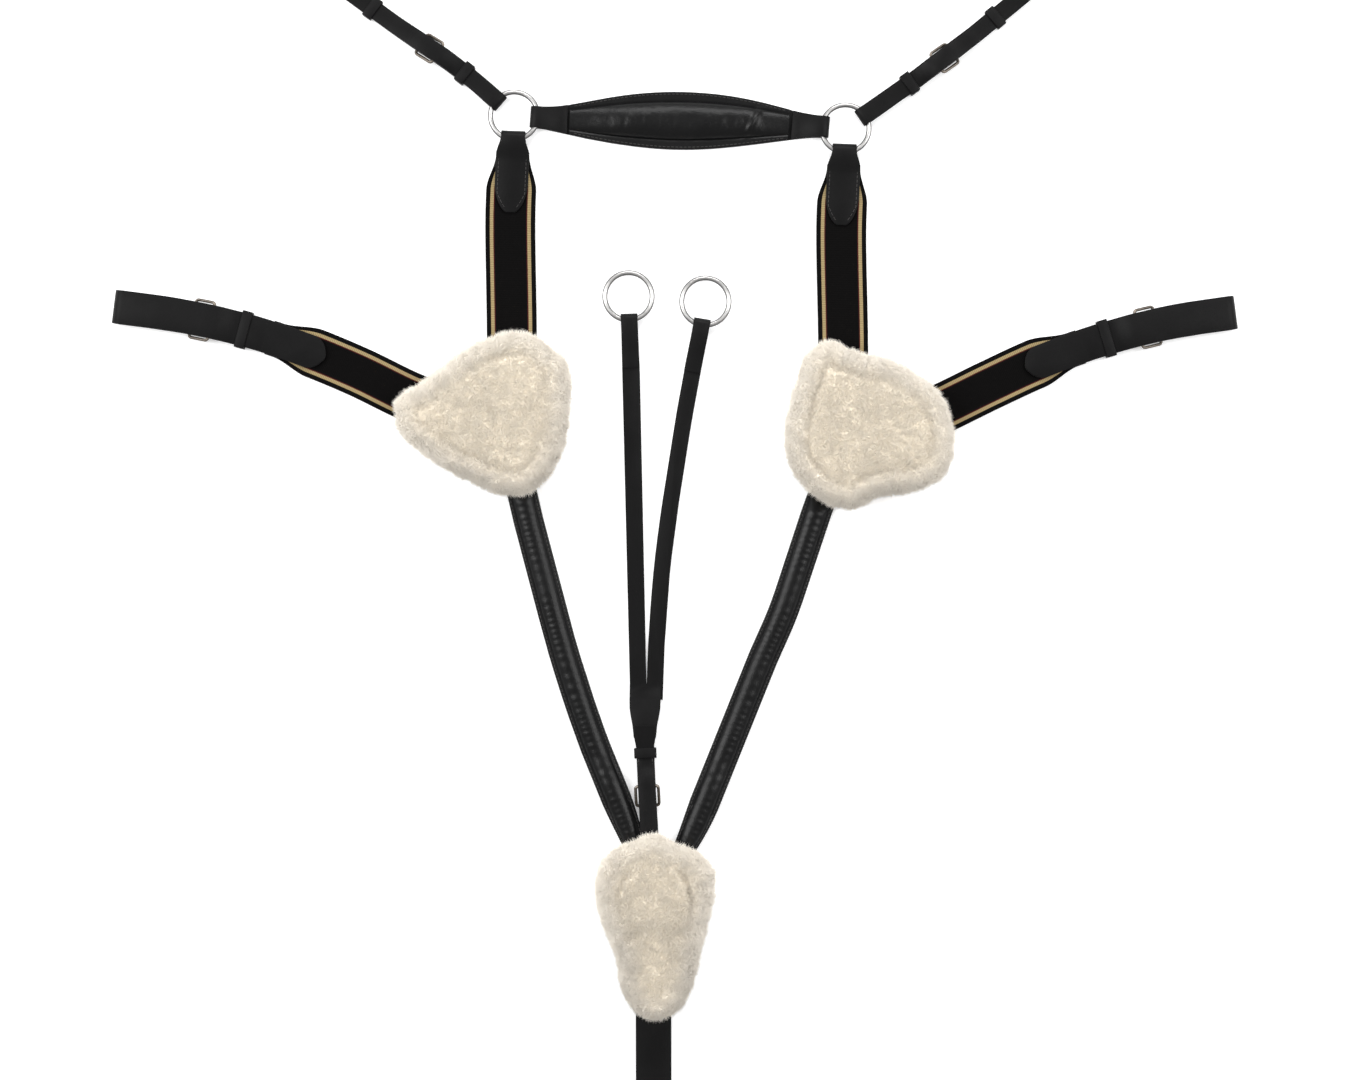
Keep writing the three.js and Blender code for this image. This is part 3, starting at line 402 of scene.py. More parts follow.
class BREASTPLATE_OT_materials(bpy.types.Operator):
    """Builds the shared shader groups and every material"""
    bl_idname = "breastplate.materials"
    bl_label = "Materials"

    def execute(self, context):
        finishes = context.scene.breastplate_finishes
        sizes = context.scene.breastplate_straps
        grain, wear, weave = grain_group(), wear_group(), weave_group()
        MATERIALS.update(
            leather=leather_material("Bridle leather", tuple(finishes.leather), grain, wear,
                                     shine=0.08, roughness=0.44, scale=1500.0, creases=0.5, strength=0.25),
            soft_leather=leather_material("Soft leather", tuple(finishes.soft_leather), grain, wear,
                                          shine=0.21, roughness=0.32, scale=1100.0, creases=0.9,
                                          strength=0.30),
            webbing=webbing_material(finishes, sizes, weave),
            # the last number of each metal sets how dark the painted shade on its flanks is, as a share of
            # its colour
            nickel=metal_material("Nickel", (0.66, 0.65, 0.64), wear, roughness=0.3, patina=0.2, flank_shade=0.1),
            antique_metal=metal_material("Antiqued metal", (0.30, 0.26, 0.22), wear,
                                         roughness=0.36, patina=0.55, flank_shade=0.35),
            sheepskin=fleece_material(tuple(finishes.fleece)),
            thread=thread_material(tuple(finishes.thread)),
        )
        return {"FINISHED"}


# ---- Courses: smooth lines that the straps follow over the ground ----
class Course:
    """A smooth line through points in millimetres from the chest ring, measured in metres along it."""

    def __init__(self, points):
        knots = [np.array(p, float) for p in points]
        knots = [2 * knots[0] - knots[1], *knots, 2 * knots[-1] - knots[-2]]
        samples = []
        for a, b, c, d in zip(knots, knots[1:], knots[2:], knots[3:]):
            gaps = [max(np.linalg.norm(q - p) ** 0.5, 1e-4) for p, q in ((a, b), (b, c), (c, d))]
            start = (b - a) / gaps[0] - (c - a) / (gaps[0] + gaps[1]) + (c - b) / gaps[1]
            end = (c - b) / gaps[1] - (d - b) / (gaps[1] + gaps[2]) + (d - c) / gaps[2]
            start, end = start * gaps[1], end * gaps[1]
            t = np.linspace(0, 1, COURSE_SAMPLES, endpoint=False)[:, None]
            samples.append(b + start * t + (3 * (c - b) - 2 * start - end) * t ** 2
                           + (2 * (b - c) + start + end) * t ** 3)
        samples.append(knots[-2][None])
        self.points = np.vstack(samples) * MM + np.array(CHEST[:2])
        steps = np.linalg.norm(np.diff(self.points, axis=0), axis=1)
        self.lengths = np.concatenate([[0], np.cumsum(steps)])
        self.length = self.lengths[-1]

    def place(self, s):
        """Points and unit directions at distances s along the line."""
        s = np.asarray(s, float)
        point = np.stack([np.interp(s, self.lengths, self.points[:, k]) for k in (0, 1)], -1)
        ahead = np.clip(s + 0.001, 0, self.length)
        behind = np.clip(s - 0.001, 0, self.length)
        along = np.stack([np.interp(ahead, self.lengths, self.points[:, k])
                          - np.interp(behind, self.lengths, self.points[:, k]) for k in (0, 1)], -1)
        return point, along / np.linalg.norm(along, axis=-1, keepdims=True)


def away(start, *steps):
    """Points off a start, each a distance and a direction."""
    points = [start]
    for distance, direction in steps:
        x, y = np.array(direction) / np.hypot(*direction) * distance
        points.append((start[0] + x, start[1] + y))
    return points


NECK_RINGS = {"left": (-125.6, 709.6), "right": (171.9, 698)}
SHOULDER_RINGS = {"left": (-128.7, 423.9), "right": (169.2, 409.5)}
DOWN = (-0.039, -0.9992)
UPPER = {side: Course([*away(NECK_RINGS[side], (45, DOWN), (90, DOWN)), middle_point, SHOULDER_RINGS[side]])
         for side, middle_point in (("left", (-127.8, 508.5)), ("right", (170.1, 499.5)))}
OUTWARD = {
    "left": Course([SHOULDER_RINGS["left"], (-172, 439), (-218.7, 457), (-266.4, 480), (-315, 500),
                    (-363.6, 516), (-426.6, 530), (-500, 540)]),
    "right": Course([SHOULDER_RINGS["right"], (212, 426), (257.4, 446), (302.4, 468), (348.3, 489),
                     (401.4, 508), (464.4, 524), (545, 536)]),
}
PADDED = {
    "left": Course([SHOULDER_RINGS["left"], (-118.8, 370.8), (-99, 292.5), (-79.2, 220.5), (-55.8, 150.3),
                    (-38.7, 108), (-19.8, 60.3), (0, 0)]),
    "right": Course([SHOULDER_RINGS["right"], (150.3, 364.5), (134.1, 316.8), (116.1, 263.7), (95.4, 216),
                     (73.8, 162), (53.1, 110.7), (34.2, 65.7), (0, 0)]),
}
CREST = Course([NECK_RINGS["left"], (-77, 706.5), (-14.4, 706), (15.3, 705.6), (74.7, 704.5), (111.6, 702.5),
                NECK_RINGS["right"]])
TAIL = Course([(-7.7, 210), (-8.1, 150), (-6, 100), (-4.2, 62), (-2, 30), (0, 0)])
OUTLINES = {
    "left_shoulder": [(-149, 508), (-119, 514), (-93, 501), (-77, 482), (-76, 447), (-84, 403), (-107, 374),
                      (-125, 369), (-146, 373), (-195, 398), (-225, 423), (-230, 440), (-228, 455),
                      (-206, 470), (-170, 496)],
    "right_shoulder": [(145, 501), (160, 506), (180, 496), (215, 487), (250, 464), (264, 440), (267, 410),
                       (258, 386), (233, 373), (202, 368), (173, 357), (142, 370), (122, 396), (118, 427),
                       (128, 470), (134, 489)],
    "chest": [(-30, 54), (-18, 60), (0, 65.7), (19, 57.6), (40, 48.6), (53, 32), (52, 9), (48, -10),
              (38.7, -46), (34, -67.5), (22, -89), (-3, -99), (-25, -79), (-33, -43), (-46, -10),
              (-50.4, 10), (-50, 32), (-38, 50)],
}
# The chest pad's seam and fold, as points of a course.
CHEST_SEAM = [(-29.7, -10), (-30.6, -2.7), (-31.5, 13.5), (-27, 25.2), (-19.8, 33.3), (-4.5, 42.3),
              (12.6, 40), (25.2, 30.7), (31.5, 17.1), (33.3, 3.6), (30.6, -19.8)]
CHEST_FOLD = [(-22, -26), (-8, -20), (6, -28), (17, -22), (29, -24)]


def smooth(value, low, high):
    """0 below low, 1 above high, and smooth between."""
    t = np.clip((np.asarray(value, float) - low) / (high - low), 0, 1)
    return t * t * (3 - 2 * t)


# ---- Building pieces ----
def new_object(name, mesh, material=None):
    """A mesh as a piece in the scene."""
    obj = bpy.data.objects.new(name, mesh)
    bpy.context.collection.objects.link(obj)
    if material:
        mesh.materials.append(MATERIALS[material])
    return obj


def mesh_from(name, vertices, faces):
    """A mesh from its points and faces."""
    mesh = bpy.data.meshes.new(name)
    mesh.from_pydata(np.asarray(vertices).tolist(), [], faces)
    mesh.update()
    return mesh


def outward(obj):
    """Turns every normal outward and shades the piece smooth."""
    shape = bmesh.new()
    shape.from_mesh(obj.data)
    bmesh.ops.recalc_face_normals(shape, faces=shape.faces)
    shape.to_mesh(obj.data)
    shape.free()
    select(obj)
    bpy.ops.object.shade_smooth_by_angle(angle=math.radians(38))
    return obj


def select(obj):
    """Selects one piece and nothing else."""
    bpy.ops.object.select_all(action="DESELECT")
    obj.select_set(True)
    bpy.context.view_layer.objects.active = obj


def strap(name, line, distances, profile, material):
    """A closed strap along a course. profile(s) gives its cross-section as (across, height) pairs."""
    distances = np.asarray(distances, float)
    points, along = line.place(distances)
    across = np.stack([-along[:, 1], along[:, 0]], -1)
    rows, across_values = [], []
    for s, point, side in zip(distances, points, across):
        section = np.asarray(profile(s))
        rows.append(np.column_stack([point + section[:, :1] * side, section[:, 1]]))
        across_values.append(section[:, 0])
    count = len(rows[0])
    vertices = np.vstack(rows)
    faces = []
    for i in range(len(rows) - 1):
        for j in range(count):
            k = (j + 1) % count
            faces.append((i * count + j, i * count + k, (i + 1) * count + k, (i + 1) * count + j))
    faces.append(tuple(reversed(range(count))))
    faces.append(tuple(range(len(vertices) - count, len(vertices))))
    mesh = mesh_from(name, vertices, faces)
    full = bpy.context.scene.breastplate_straps.elastic_width / 2
    across_map = [side / np.abs(side).max() * full for side in across_values]
    values = np.column_stack([np.concatenate(across_map), np.repeat(distances, count)])
    layer = mesh.uv_layers.new(name="strap")
    corners = np.empty(len(mesh.loops), np.int32)
    mesh.loops.foreach_get("vertex_index", corners)
    layer.data.foreach_set("uv", values[corners].ravel())
    return outward(new_object(name, mesh, material))


def flat_section(width, low, high, top=None, count=25):
    """A leather or webbing section with softened edges, its top raised by top(across) metres."""
    v = np.sin(np.linspace(-math.pi / 2, math.pi / 2, count)) * width / 2
    edge = np.clip((width / 2 - np.abs(v)) / EDGE_SOFTNESS, 0, 1)
    soft = (high - low) * 0.42 * (1 - np.sqrt(1 - (1 - edge) ** 2))
    rise = top(v) if top else 0.0
    upper = np.column_stack([v, high - soft + rise])
    under = np.column_stack([v, low + soft])[::-1]
    return np.vstack([under, upper])


def stitches(name, line, start, end, side, height, body, width=0.0006):
    """A row of sewing thread along a course. side(s) and height(s) give its place."""
    sizes = bpy.context.scene.breastplate_straps
    places = np.arange(start, end - sizes.stitch_length, sizes.stitch_pitch)
    vertices, faces = [], []
    for s in places:
        ends = s + np.array([0.0, 0.5, 1.0]) * sizes.stitch_length
        points, along = line.place(ends)
        first = len(vertices)
        for index, (point, ahead) in enumerate(zip(points, along)):
            across = np.array([-ahead[1], ahead[0]])
            crown = width * (0.75 if index == 1 else 0.15)
            for dv, dz in ((-1, -0.5), (1, -0.5), (0, 1)):
                spot = point + across * (side(ends[index]) + dv * width * 0.5)
                vertices.append((*spot, height(ends[index]) + crown * 0.5 + dz * width * 0.45))
        for row in (0, 3):
            for a, b in ((0, 1), (1, 2), (2, 0)):
                faces.append((first + row + a, first + row + b, first + row + 3 + b, first + row + 3 + a))
        faces += [(first + 2, first + 1, first), (first + 6, first + 7, first + 8)]
    thread = outward(new_object(name, mesh_from(name, vertices, faces), "thread"))
    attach(thread, body)
    return thread


def refined(node, body, slot_name, edge=None):
    """A frame node's shape with its triangles welded, its edges rounded and its faces smooth."""
    mesh = NODES[node].data.copy()
    obj = new_object(f"{node}_finish", mesh)
    mesh.materials.clear()
    mesh.materials.append(MATERIALS[slot_name])
    shape = bmesh.new()
    shape.from_mesh(mesh)
    bmesh.ops.remove_doubles(shape, verts=shape.verts, dist=0.00002)
    bmesh.ops.dissolve_limit(shape, angle_limit=math.radians(1.2), verts=shape.verts, edges=shape.edges)
    shape.to_mesh(mesh)
    shape.free()
    bevel = obj.modifiers.new("Edges", "BEVEL")
    bevel.width = edge or bpy.context.scene.breastplate_straps.edge_round
    bevel.segments = 2
    bevel.limit_method = "ANGLE"
    bevel.angle_limit = math.radians(50)
    bevel.use_clamp_overlap = True
    select(obj)
    bpy.ops.object.modifier_apply(modifier="Edges")
    select(obj)
    bpy.ops.object.shade_smooth_by_angle(angle=math.radians(35))
    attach(obj, body)
    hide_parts(node)
    return obj


def finish_piece(obj, body, slot_name, *nodes):
    """Says which body a piece rides on and hides the nodes it replaces. slot_name is not used."""
    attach(obj, body)
    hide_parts(*nodes)
    return obj


# ---- The pieces ----
class BREASTPLATE_OT_elastics(bpy.types.Operator):
    """Weaves the four elastic straps with their gold stripes"""
    bl_idname = "breastplate.elastics"
    bl_label = "Elastics"

    def execute(self, context):
        full = context.scene.breastplate_straps.elastic_width
        for side in SIDES:
            line = UPPER[side]
            start, end = 0.0326, line.length - 0.0395

            def upper(s, length=line.length):
                gripped = min(smooth(s, 0.035, 0.067), smooth(length - s, 0.042, 0.074))
                width = CHAPE_WIDTH + (full - CHAPE_WIDTH) * gripped
                return flat_section(float(width), 0.0021, 0.0040)

            band = strap(f"{side}_upper_webbing", line, np.arange(start, end, 0.002), upper, "webbing")
            finish_piece(band, "front", "webbing", f"{side}_upper_elastic")
            line = OUTWARD[side]

            def outer(s):
                gripped = smooth(s, 0.042, 0.074) * (1 - 0.9 * smooth(s, 0.19, 0.226))
                width = CHAPE_WIDTH + (full - CHAPE_WIDTH) * gripped
                level = 0.00305 + 0.00215 * smooth(s, 0.161, 0.211)
                return flat_section(float(width), float(level) - 0.00095, float(level) + 0.00095)

            band = strap(f"{side}_outer_webbing", line, np.arange(0.0395, 0.234, 0.002), outer, "webbing")
            finish_piece(band, f"{side}_side", "webbing", f"{side}_side_elastic")
        return {"FINISHED"}


def padded_level(s, length):
    """Underside of a padded facing: it rises over the martingale's tail near the chest ring."""
    return 0.00215 + 0.00315 * smooth(s, length - 0.147, length - 0.112)


class BREASTPLATE_OT_padded_straps(bpy.types.Operator):
    """Models the two padded straps that join the shoulder rings to the chest ring"""
    bl_idname = "breastplate.padded_straps"
    bl_label = "Padded straps"

    def execute(self, context):
        full = context.scene.breastplate_straps.padded_width
        for side in SIDES:
            line = PADDED[side]
            length = line.length

            def width_at(s):
                shoulder = 0.020 + (full - 0.020) * smooth(s, 0.026, 0.044)
                chest = 0.016 + (full - 0.016) * smooth(length - s, 0.024, 0.104)
                return float(min(shoulder, chest))

            def facing(s):
                width = width_at(s)
                base = float(padded_level(s, length))
                rise = float(smooth(s, 0.044, 0.062) * smooth(length - s, 0.046, 0.066)) * PADDED_SWELL
                half = min(0.0094, width / 2 - 0.0027)
                pull = 0.00022 * noise.noise(Vector((s * 160, 3.1, 0)))

                def dome(v):
                    t = np.clip(np.abs(v) / half, 0, 1)
                    creases = 0.00016 * np.sin(s * 900 + 5 * np.sin(s * 70)) * (1 - t)
                    channel = -0.00035 * np.exp(-((np.abs(v) - half - 0.0002) / 0.0006) ** 2)
                    return (rise + pull) * (1 - t ** 2.2) ** 0.8 + creases + channel

                return flat_section(width, base, base + FACING_THICKNESS, dome, 41)

            piece = strap(f"{side}_padded_face", line, np.arange(0.044, length - 0.0455, 0.0011), facing,
                          "soft_leather")
            finish_piece(piece, "front", "soft_leather", f"{side}_padded_facing")
            for name, sign in (("outer", 1), ("inner", -1)):
                stitches(f"{side}_padded_{name}_stitches", line, 0.047, length - 0.049,
                         lambda s, sign=sign: sign * (width_at(s) / 2 - 0.0019),
                         lambda s: float(padded_level(s, length)) + FACING_THICKNESS, "front")
        return {"FINISHED"}


class BREASTPLATE_OT_crest(bpy.types.Operator):
    """Models the crest strap's padded channel"""
    bl_idname = "breastplate.crest"
    bl_label = "Crest lining"

    def execute(self, context):
        line = CREST
        length = line.length

        def width_at(s):
            share = np.clip(abs(s - length / 2) / (length / 2 - 0.024), 0, 1)
            return 0.019 + 0.033 * (1 - share ** 2) ** 1.4

        def lining(s):
            width = float(width_at(s))
            swell = float(smooth(s, 0.046, 0.115) * smooth(length - s, 0.046, 0.115))
            half = 0.335 * width
            fold = 0.0022 * math.exp(-((s - (length - 0.083)) / 0.006) ** 2)

            def dome(v):
                t = np.clip(np.abs(v) / half, 0, 1)
                body = (0.0018 + CREST_SWELL * swell) * (1 - t ** 2.2) ** 0.75
                wrinkles = np.array([noise.fractal(Vector((s * 95, x * 45, 0.7)), 0.8, 2.1, 4) for x in v])
                channel = -0.0006 * np.exp(-((np.abs(v) - half) / 0.0009) ** 2)
                slant = fold * np.exp(-((v - (s - length + 0.083) * 1.6) / 0.006) ** 2)
                return body + 0.0006 * wrinkles * swell * (1 - t) ** 0.3 + channel + slant

            return flat_section(width, 0.00215, 0.0037, dome, 61)

        piece = strap("crest_lining", line, np.arange(0.050, length - 0.050, 0.0011), lining, "soft_leather")
        finish_piece(piece, "wither", "soft_leather", "wither_lining")
        for name, sign in (("upper", 1), ("lower", -1)):
            stitches(f"crest_{name}_stitches", line, 0.054, length - 0.054,
                     lambda s, sign=sign: sign * (float(width_at(s)) / 2 - 0.0022),
                     lambda s: 0.0037, "wither")
        return {"FINISHED"}


class BREASTPLATE_OT_rings(bpy.types.Operator):
    """Turns the seven polished rings"""
    bl_idname = "breastplate.rings"
    bl_label = "Rings"

    def execute(self, context):
        flat = [f"{side}_{kind}_ring" for side in SIDES for kind in ("neck", "shoulder")] + ["chest_ring"]
        flat += [f"{side}_martingale_ring" for side in SIDES]
        for node in flat:
            low, high = (Vector(corner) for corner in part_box(node))
            wire = min(high - low)
            bpy.ops.object.select_all(action="DESELECT")
            bpy.ops.mesh.primitive_torus_add(
                location=(low + high) / 2, major_radius=(high.x - low.x - wire) / 2,
                minor_radius=wire / 2, major_segments=160, minor_segments=28)
            ring = context.active_object
            ring.name = f"{node}_wire"
            bpy.ops.object.transform_apply(location=True, rotation=True, scale=True)
            bpy.ops.object.shade_smooth()
            ring.data.materials.append(MATERIALS["nickel"])
            finish_piece(ring, node, "nickel", node)
        return {"FINISHED"}


LEATHER_NODES = {
    "front": ["martingale_tail", "martingale_chape", "martingale_keeper"]
    + [f"{side}_{kind}" for side in SIDES for kind in ("neck_chape", "upper_chape", "padded_strap")],
    "wither": ["wither_strap"],
    "fork": ["martingale_fork"],
    "belly": ["belly_strap", "belly_chape", "belly_keeper"],
    **{f"{side}_saddle": [f"{side}_saddle_strap", f"{side}_saddle_keeper"] for side in SIDES},
    **{f"{side}_saddle_runner": [f"{side}_saddle_runner"] for side in SIDES},
    **{f"{side}_side": [f"{side}_{kind}" for kind in ("side_chape", "girth_loop", "girth_chape",
                                                      "girth_keeper")] for side in SIDES},
}
METAL_NODES = {
    "front": ["martingale_buckle"],
    "martingale_tongue": ["martingale_tongue"],
    "belly": ["belly_buckle"],
    "belly_tongue": ["belly_tongue"],
    **{f"{side}_saddle": [f"{side}_saddle_buckle"] for side in SIDES},
    **{f"{side}_side": [f"{side}_girth_buckle"] for side in SIDES},
    **{f"{side}_{kind}_tongue": [f"{side}_{kind}_tongue"] for side in SIDES for kind in ("saddle", "girth")},
}
BACKINGS = ["left_shoulder_backing", "right_shoulder_backing", "chest_backing"]


class BREASTPLATE_OT_leatherwork(bpy.types.Operator):
    """Works the edges of every leather strap, loop, keeper and pad backing"""
    bl_idname = "breastplate.leatherwork"
    bl_label = "Leatherwork"

    def execute(self, context):
        for body, nodes in LEATHER_NODES.items():
            for node in nodes:
                refined(node, body, "leather")
        for node in BACKINGS:
            refined(node, "front", "soft_leather")
        return {"FINISHED"}


class BREASTPLATE_OT_buckles(bpy.types.Operator):
    """Finishes the buckles and their tongues"""
    bl_idname = "breastplate.buckles"
    bl_label = "Buckles"

    def execute(self, context):
        for body, nodes in METAL_NODES.items():
            for node in nodes:
                refined(node, body, "antique_metal", edge=0.0003)
        return {"FINISHED"}


def tapered(left, reach):
    """How far a chape's sewing row lies from its middle, with a distance left to the tip's last stitch."""
    return float(CHAPE_SEAM * np.clip(left / reach, 0, 1) ** 0.6)


class BREASTPLATE_OT_sewing(bpy.types.Operator):
    """Sews the chapes and the martingale's tail, and covers the martingale's seam"""
    bl_idname = "breastplate.sewing"
    bl_label = "Sewing"

    def row(self, name, line, start, end, side, height, body):
        """Two rows of thread, one on each side of a strap's middle."""
        for label, sign in (("a", 1), ("b", -1)):
            stitches(f"{name}_{label}", line, start, end, lambda s: sign * side(s), lambda s: height, body)

    def execute(self, context):
        for side in SIDES:
            line = UPPER[side]
            self.row(f"{side}_neck_chape_sewing", line, 0.034, 0.085,
                     lambda s: tapered(0.0865 - s, 0.017), CHAPE_TOP, "front")
            length = line.length
            self.row(f"{side}_upper_chape_sewing", line, length - 0.081, length - 0.042,
                     lambda s: tapered(s - length + 0.0825, 0.015), CHAPE_TOP, "front")
            out = OUTWARD[side]
            self.row(f"{side}_outer_chape_sewing", out, 0.042, 0.081,
                     lambda s: tapered(0.0825 - s, 0.015), CHAPE_TOP, f"{side}_side")
        tail_top = TAIL.length - 0.151
        level = top_of("martingale_fork")

        def cover(s):
            return flat_section(0.0192 - 0.0032 * float(smooth(s, tail_top - 0.002, tail_top + 0.010)),
                                level - 0.0002, level + 0.0007)

        covered = np.arange(tail_top - 0.011, tail_top + 0.0101, 0.0005)
        piece = strap("martingale_seam_cover", TAIL, covered, cover, "leather")
        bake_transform(piece)
        self.row("tail_sewing", TAIL, tail_top + 0.011, tail_top + 0.034, lambda s: 0.0061,
                 level + 0.0001, "front")
        return {"FINISHED"}


def closed_outline(points, count):
    """A smooth closed line through points in millimetres, with count evenly spaced points in metres."""
    knots = np.array(points, float) * MM + np.array(CHEST[:2])
    samples = []
    t = np.linspace(0, 1, 40, endpoint=False)[:, None]
    for i in range(len(knots)):
        a, b, c, d = (knots[(i + k) % len(knots)] for k in (-1, 0, 1, 2))
        samples.append(0.5 * (2 * b + (c - a) * t + (2 * a - 5 * b + 4 * c - d) * t ** 2
                              + (3 * b - a - 3 * c + d) * t ** 3))
    line = np.vstack(samples)
    line = np.vstack([line, line[:1]])
    lengths = np.concatenate([[0], np.cumsum(np.linalg.norm(np.diff(line, axis=0), axis=1))])
    marks = np.linspace(0, lengths[-1], count, endpoint=False)
    return np.stack([np.interp(marks, lengths, line[:, k]) for k in (0, 1)], -1)


def distance_to(points, line):
    """Distance from each point to the nearest point of a line."""
    result = np.empty(len(points))
    for first in range(0, len(points), 4000):
        part = points[first:first + 4000]
        result[first:first + 4000] = np.linalg.norm(part[:, None] - line[None], axis=2).min(axis=1)
    return result


def rough(point, scale, seed):
    """Smooth noise at a place over the ground, about -1 to 1."""
    return noise.noise(Vector((point[0] * scale, point[1] * scale, seed)))


def pad_height(inset, sizes, height, groove):
    """Height of the pile over the pad's underside at a distance in from its outline."""
    rolled = np.sqrt(np.clip(1 - (1 - np.clip(inset / 0.0115, 0, 1)) ** 2, 0, 1))
    field = 0.0013 * smooth(inset, sizes.rim, sizes.rim + 0.012)
    return height * (0.93 * rolled) + field - sizes.seam_depth * groove * smooth(inset, 0.002, 0.006)


class BREASTPLATE_OT_sheepskin(bpy.types.Operator):
    """Grows the three sheepskin pads: a rolled rim, a seam round the field and loose fibres"""
    bl_idname = "breastplate.sheepskin"
    bl_label = "Sheepskin pads"

    def pad(self, name, node, sizes, seed):
        low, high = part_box(node)
        height = high[2] - low[2]
        count, rings = PAD_SIDES, PAD_RINGS
        outline = closed_outline(OUTLINES[name], count)
        centre = outline.mean(axis=0)
        ragged = np.array([rough(p, 90, seed + 60) * 1.3 + rough(p, 300, seed + 70) * 0.7
                           for p in outline]) * MM
        away_from = (outline - centre) / np.linalg.norm(outline - centre, axis=1, keepdims=True)
        outline = outline + away_from * (ragged[:, None] - 0.0004)
        shares = 1 - (1 - np.linspace(0, 1, rings + 1)[1:]) ** 1.25
        flat = np.vstack([centre[None]] + [centre + (outline - centre) * share for share in shares])
        inset = distance_to(flat, outline)
        uneven = np.array([0.52 + 0.95 * rough(p, 22, seed + 50) for p in flat])
        if name == "chest":
            sewn = distance_to(flat, Course(CHEST_SEAM).points)
            fold = distance_to(flat, Course(CHEST_FOLD).points)
            groove = np.maximum(np.exp(-(sewn / 0.0034) ** 2), 0.9 * np.exp(-(fold / 0.0042) ** 2))
        else:
            groove = np.exp(-((inset - sizes.rim) / 0.0036) ** 2)
        tall = pad_height(inset, sizes, height, groove * np.clip(uneven, 0.06, 1.0))
        tuft = np.array([rough(p, 60, seed) * 0.7 + rough(p, 210, seed + 9) * 0.4
                         + rough(p, 560, seed + 4) * 0.3 for p in flat])
        tall = tall + 0.0016 * tuft * smooth(inset, 0.0, 0.004)
        top = np.column_stack([flat, low[2] + np.maximum(tall, 0.0)])
        under = np.column_stack([centre + (outline - centre) * 0.94, np.full(count, low[2])])
        vertices = np.vstack([top, under, [[*centre, low[2]]]])
        faces = [(0, 1 + j, 1 + (j + 1) % count) for j in range(count)]
        for ring in range(rings - 1):
            a, b = 1 + ring * count, 1 + (ring + 1) * count
            faces += [(a + j, b + j, b + (j + 1) % count, a + (j + 1) % count) for j in range(count)]
        last, base = 1 + (rings - 1) * count, len(top)
        faces += [(last + j, base + j, base + (j + 1) % count, last + (j + 1) % count) for j in range(count)]
        faces += [(base + (j + 1) % count, base + j, base + count) for j in range(count)]
        rim_pale = 0.7 * (1 - smooth(inset, sizes.rim - 0.013, sizes.rim + 0.006))
        pale = np.concatenate([rim_pale, np.zeros(count + 1)])
        widths = np.diff(np.concatenate([[0], shares]))
        weights = np.concatenate([[0], np.repeat(shares * widths, count)])
        fibre_points, fibre_faces, fibre_pale = self.fibres(top, inset, weights, sizes, seed)
        faces += (fibre_faces + len(vertices)).tolist()
        mesh = mesh_from(f"{node}_pile", np.vstack([vertices, fibre_points]), faces)
        attribute = mesh.attributes.new("depth", "FLOAT", "POINT")
        attribute.data.foreach_set("value", np.concatenate([pale, fibre_pale]).astype(np.float32))
        obj = new_object(f"{node}_pile", mesh, "sheepskin")
        mesh.polygons.foreach_set("use_smooth", [True] * len(mesh.polygons))
        finish_piece(obj, "front", "sheepskin", node)

    def fibres(self, top, inset, weights, sizes, seed):
        """Short loose fibres, each a closed spike that leans its own way, in tufts."""
        random = np.random.default_rng(seed)
        weights = weights * (inset > 0.0001) * (1 + 4 * np.exp(-inset / 0.003))
        chosen = random.choice(len(top), sizes.fibres, p=weights / weights.sum())
        roots = top[chosen] + random.normal(0, 0.0004, (sizes.fibres, 3)) * (1, 1, 0)
        centre = top[0, :2]
        outward_way = roots[:, :2] - centre
        outward_way /= np.linalg.norm(outward_way, axis=1, keepdims=True) + 1e-9
        lean = 1.1 * np.exp(-inset[chosen] / 0.006)
        swirl = np.array([(rough(p, 120, seed + 20), rough(p, 120, seed + 30)) for p in roots])
        ways = np.column_stack([outward_way * lean[:, None] + swirl * 0.9, np.ones(sizes.fibres) * 0.9])
        ways += random.normal(0, 0.5, ways.shape)
        ways[:, 2] = np.abs(ways[:, 2])
        ways /= np.linalg.norm(ways, axis=1, keepdims=True)
        reach = sizes.pile * random.uniform(0.45, 1.0, sizes.fibres)
        tips = roots + ways * reach[:, None]
        beside = np.cross(ways, random.normal(0, 1, ways.shape))
        beside /= np.linalg.norm(beside, axis=1, keepdims=True)
        third = np.cross(ways, beside)
        roots = roots - ways * 0.0008
        corners = [roots + FIBRE_RADIUS * (beside * math.cos(a) + third * math.sin(a)) for a in FIBRE_CORNERS]
        points = np.stack([*corners, tips], 1).reshape(-1, 3)
        first = np.arange(sizes.fibres)[:, None] * 4
        spike = ((0, 2, 1), (0, 1, 3), (1, 2, 3), (2, 0, 3))
        faces = np.stack([first + np.array(face) for face in spike], 1).reshape(-1, 3)
        pale = np.repeat(0.25 + 0.6 * (1 - smooth(inset[chosen], sizes.rim - 0.013, sizes.rim + 0.006)), 4)
        return points, faces, pale

    def execute(self, context):
        sizes = context.scene.breastplate_pads
        for seed, name in enumerate(OUTLINES, start=3):
            self.pad(name, f"{name}_fleece", sizes, seed)
        return {"FINISHED"}


def area_light(name, place, target, size, watts):
    """A soft rectangular light that points at a target."""
    bpy.ops.object.light_add(type="AREA", location=place)
    light = bpy.context.active_object
    light.name = name
    light.data.shape = "RECTANGLE"
    light.data.size, light.data.size_y = size
    light.data.energy = watts
    light.rotation_euler = (Vector(target) - Vector(place)).to_track_quat("-Z", "Y").to_euler()
    return light


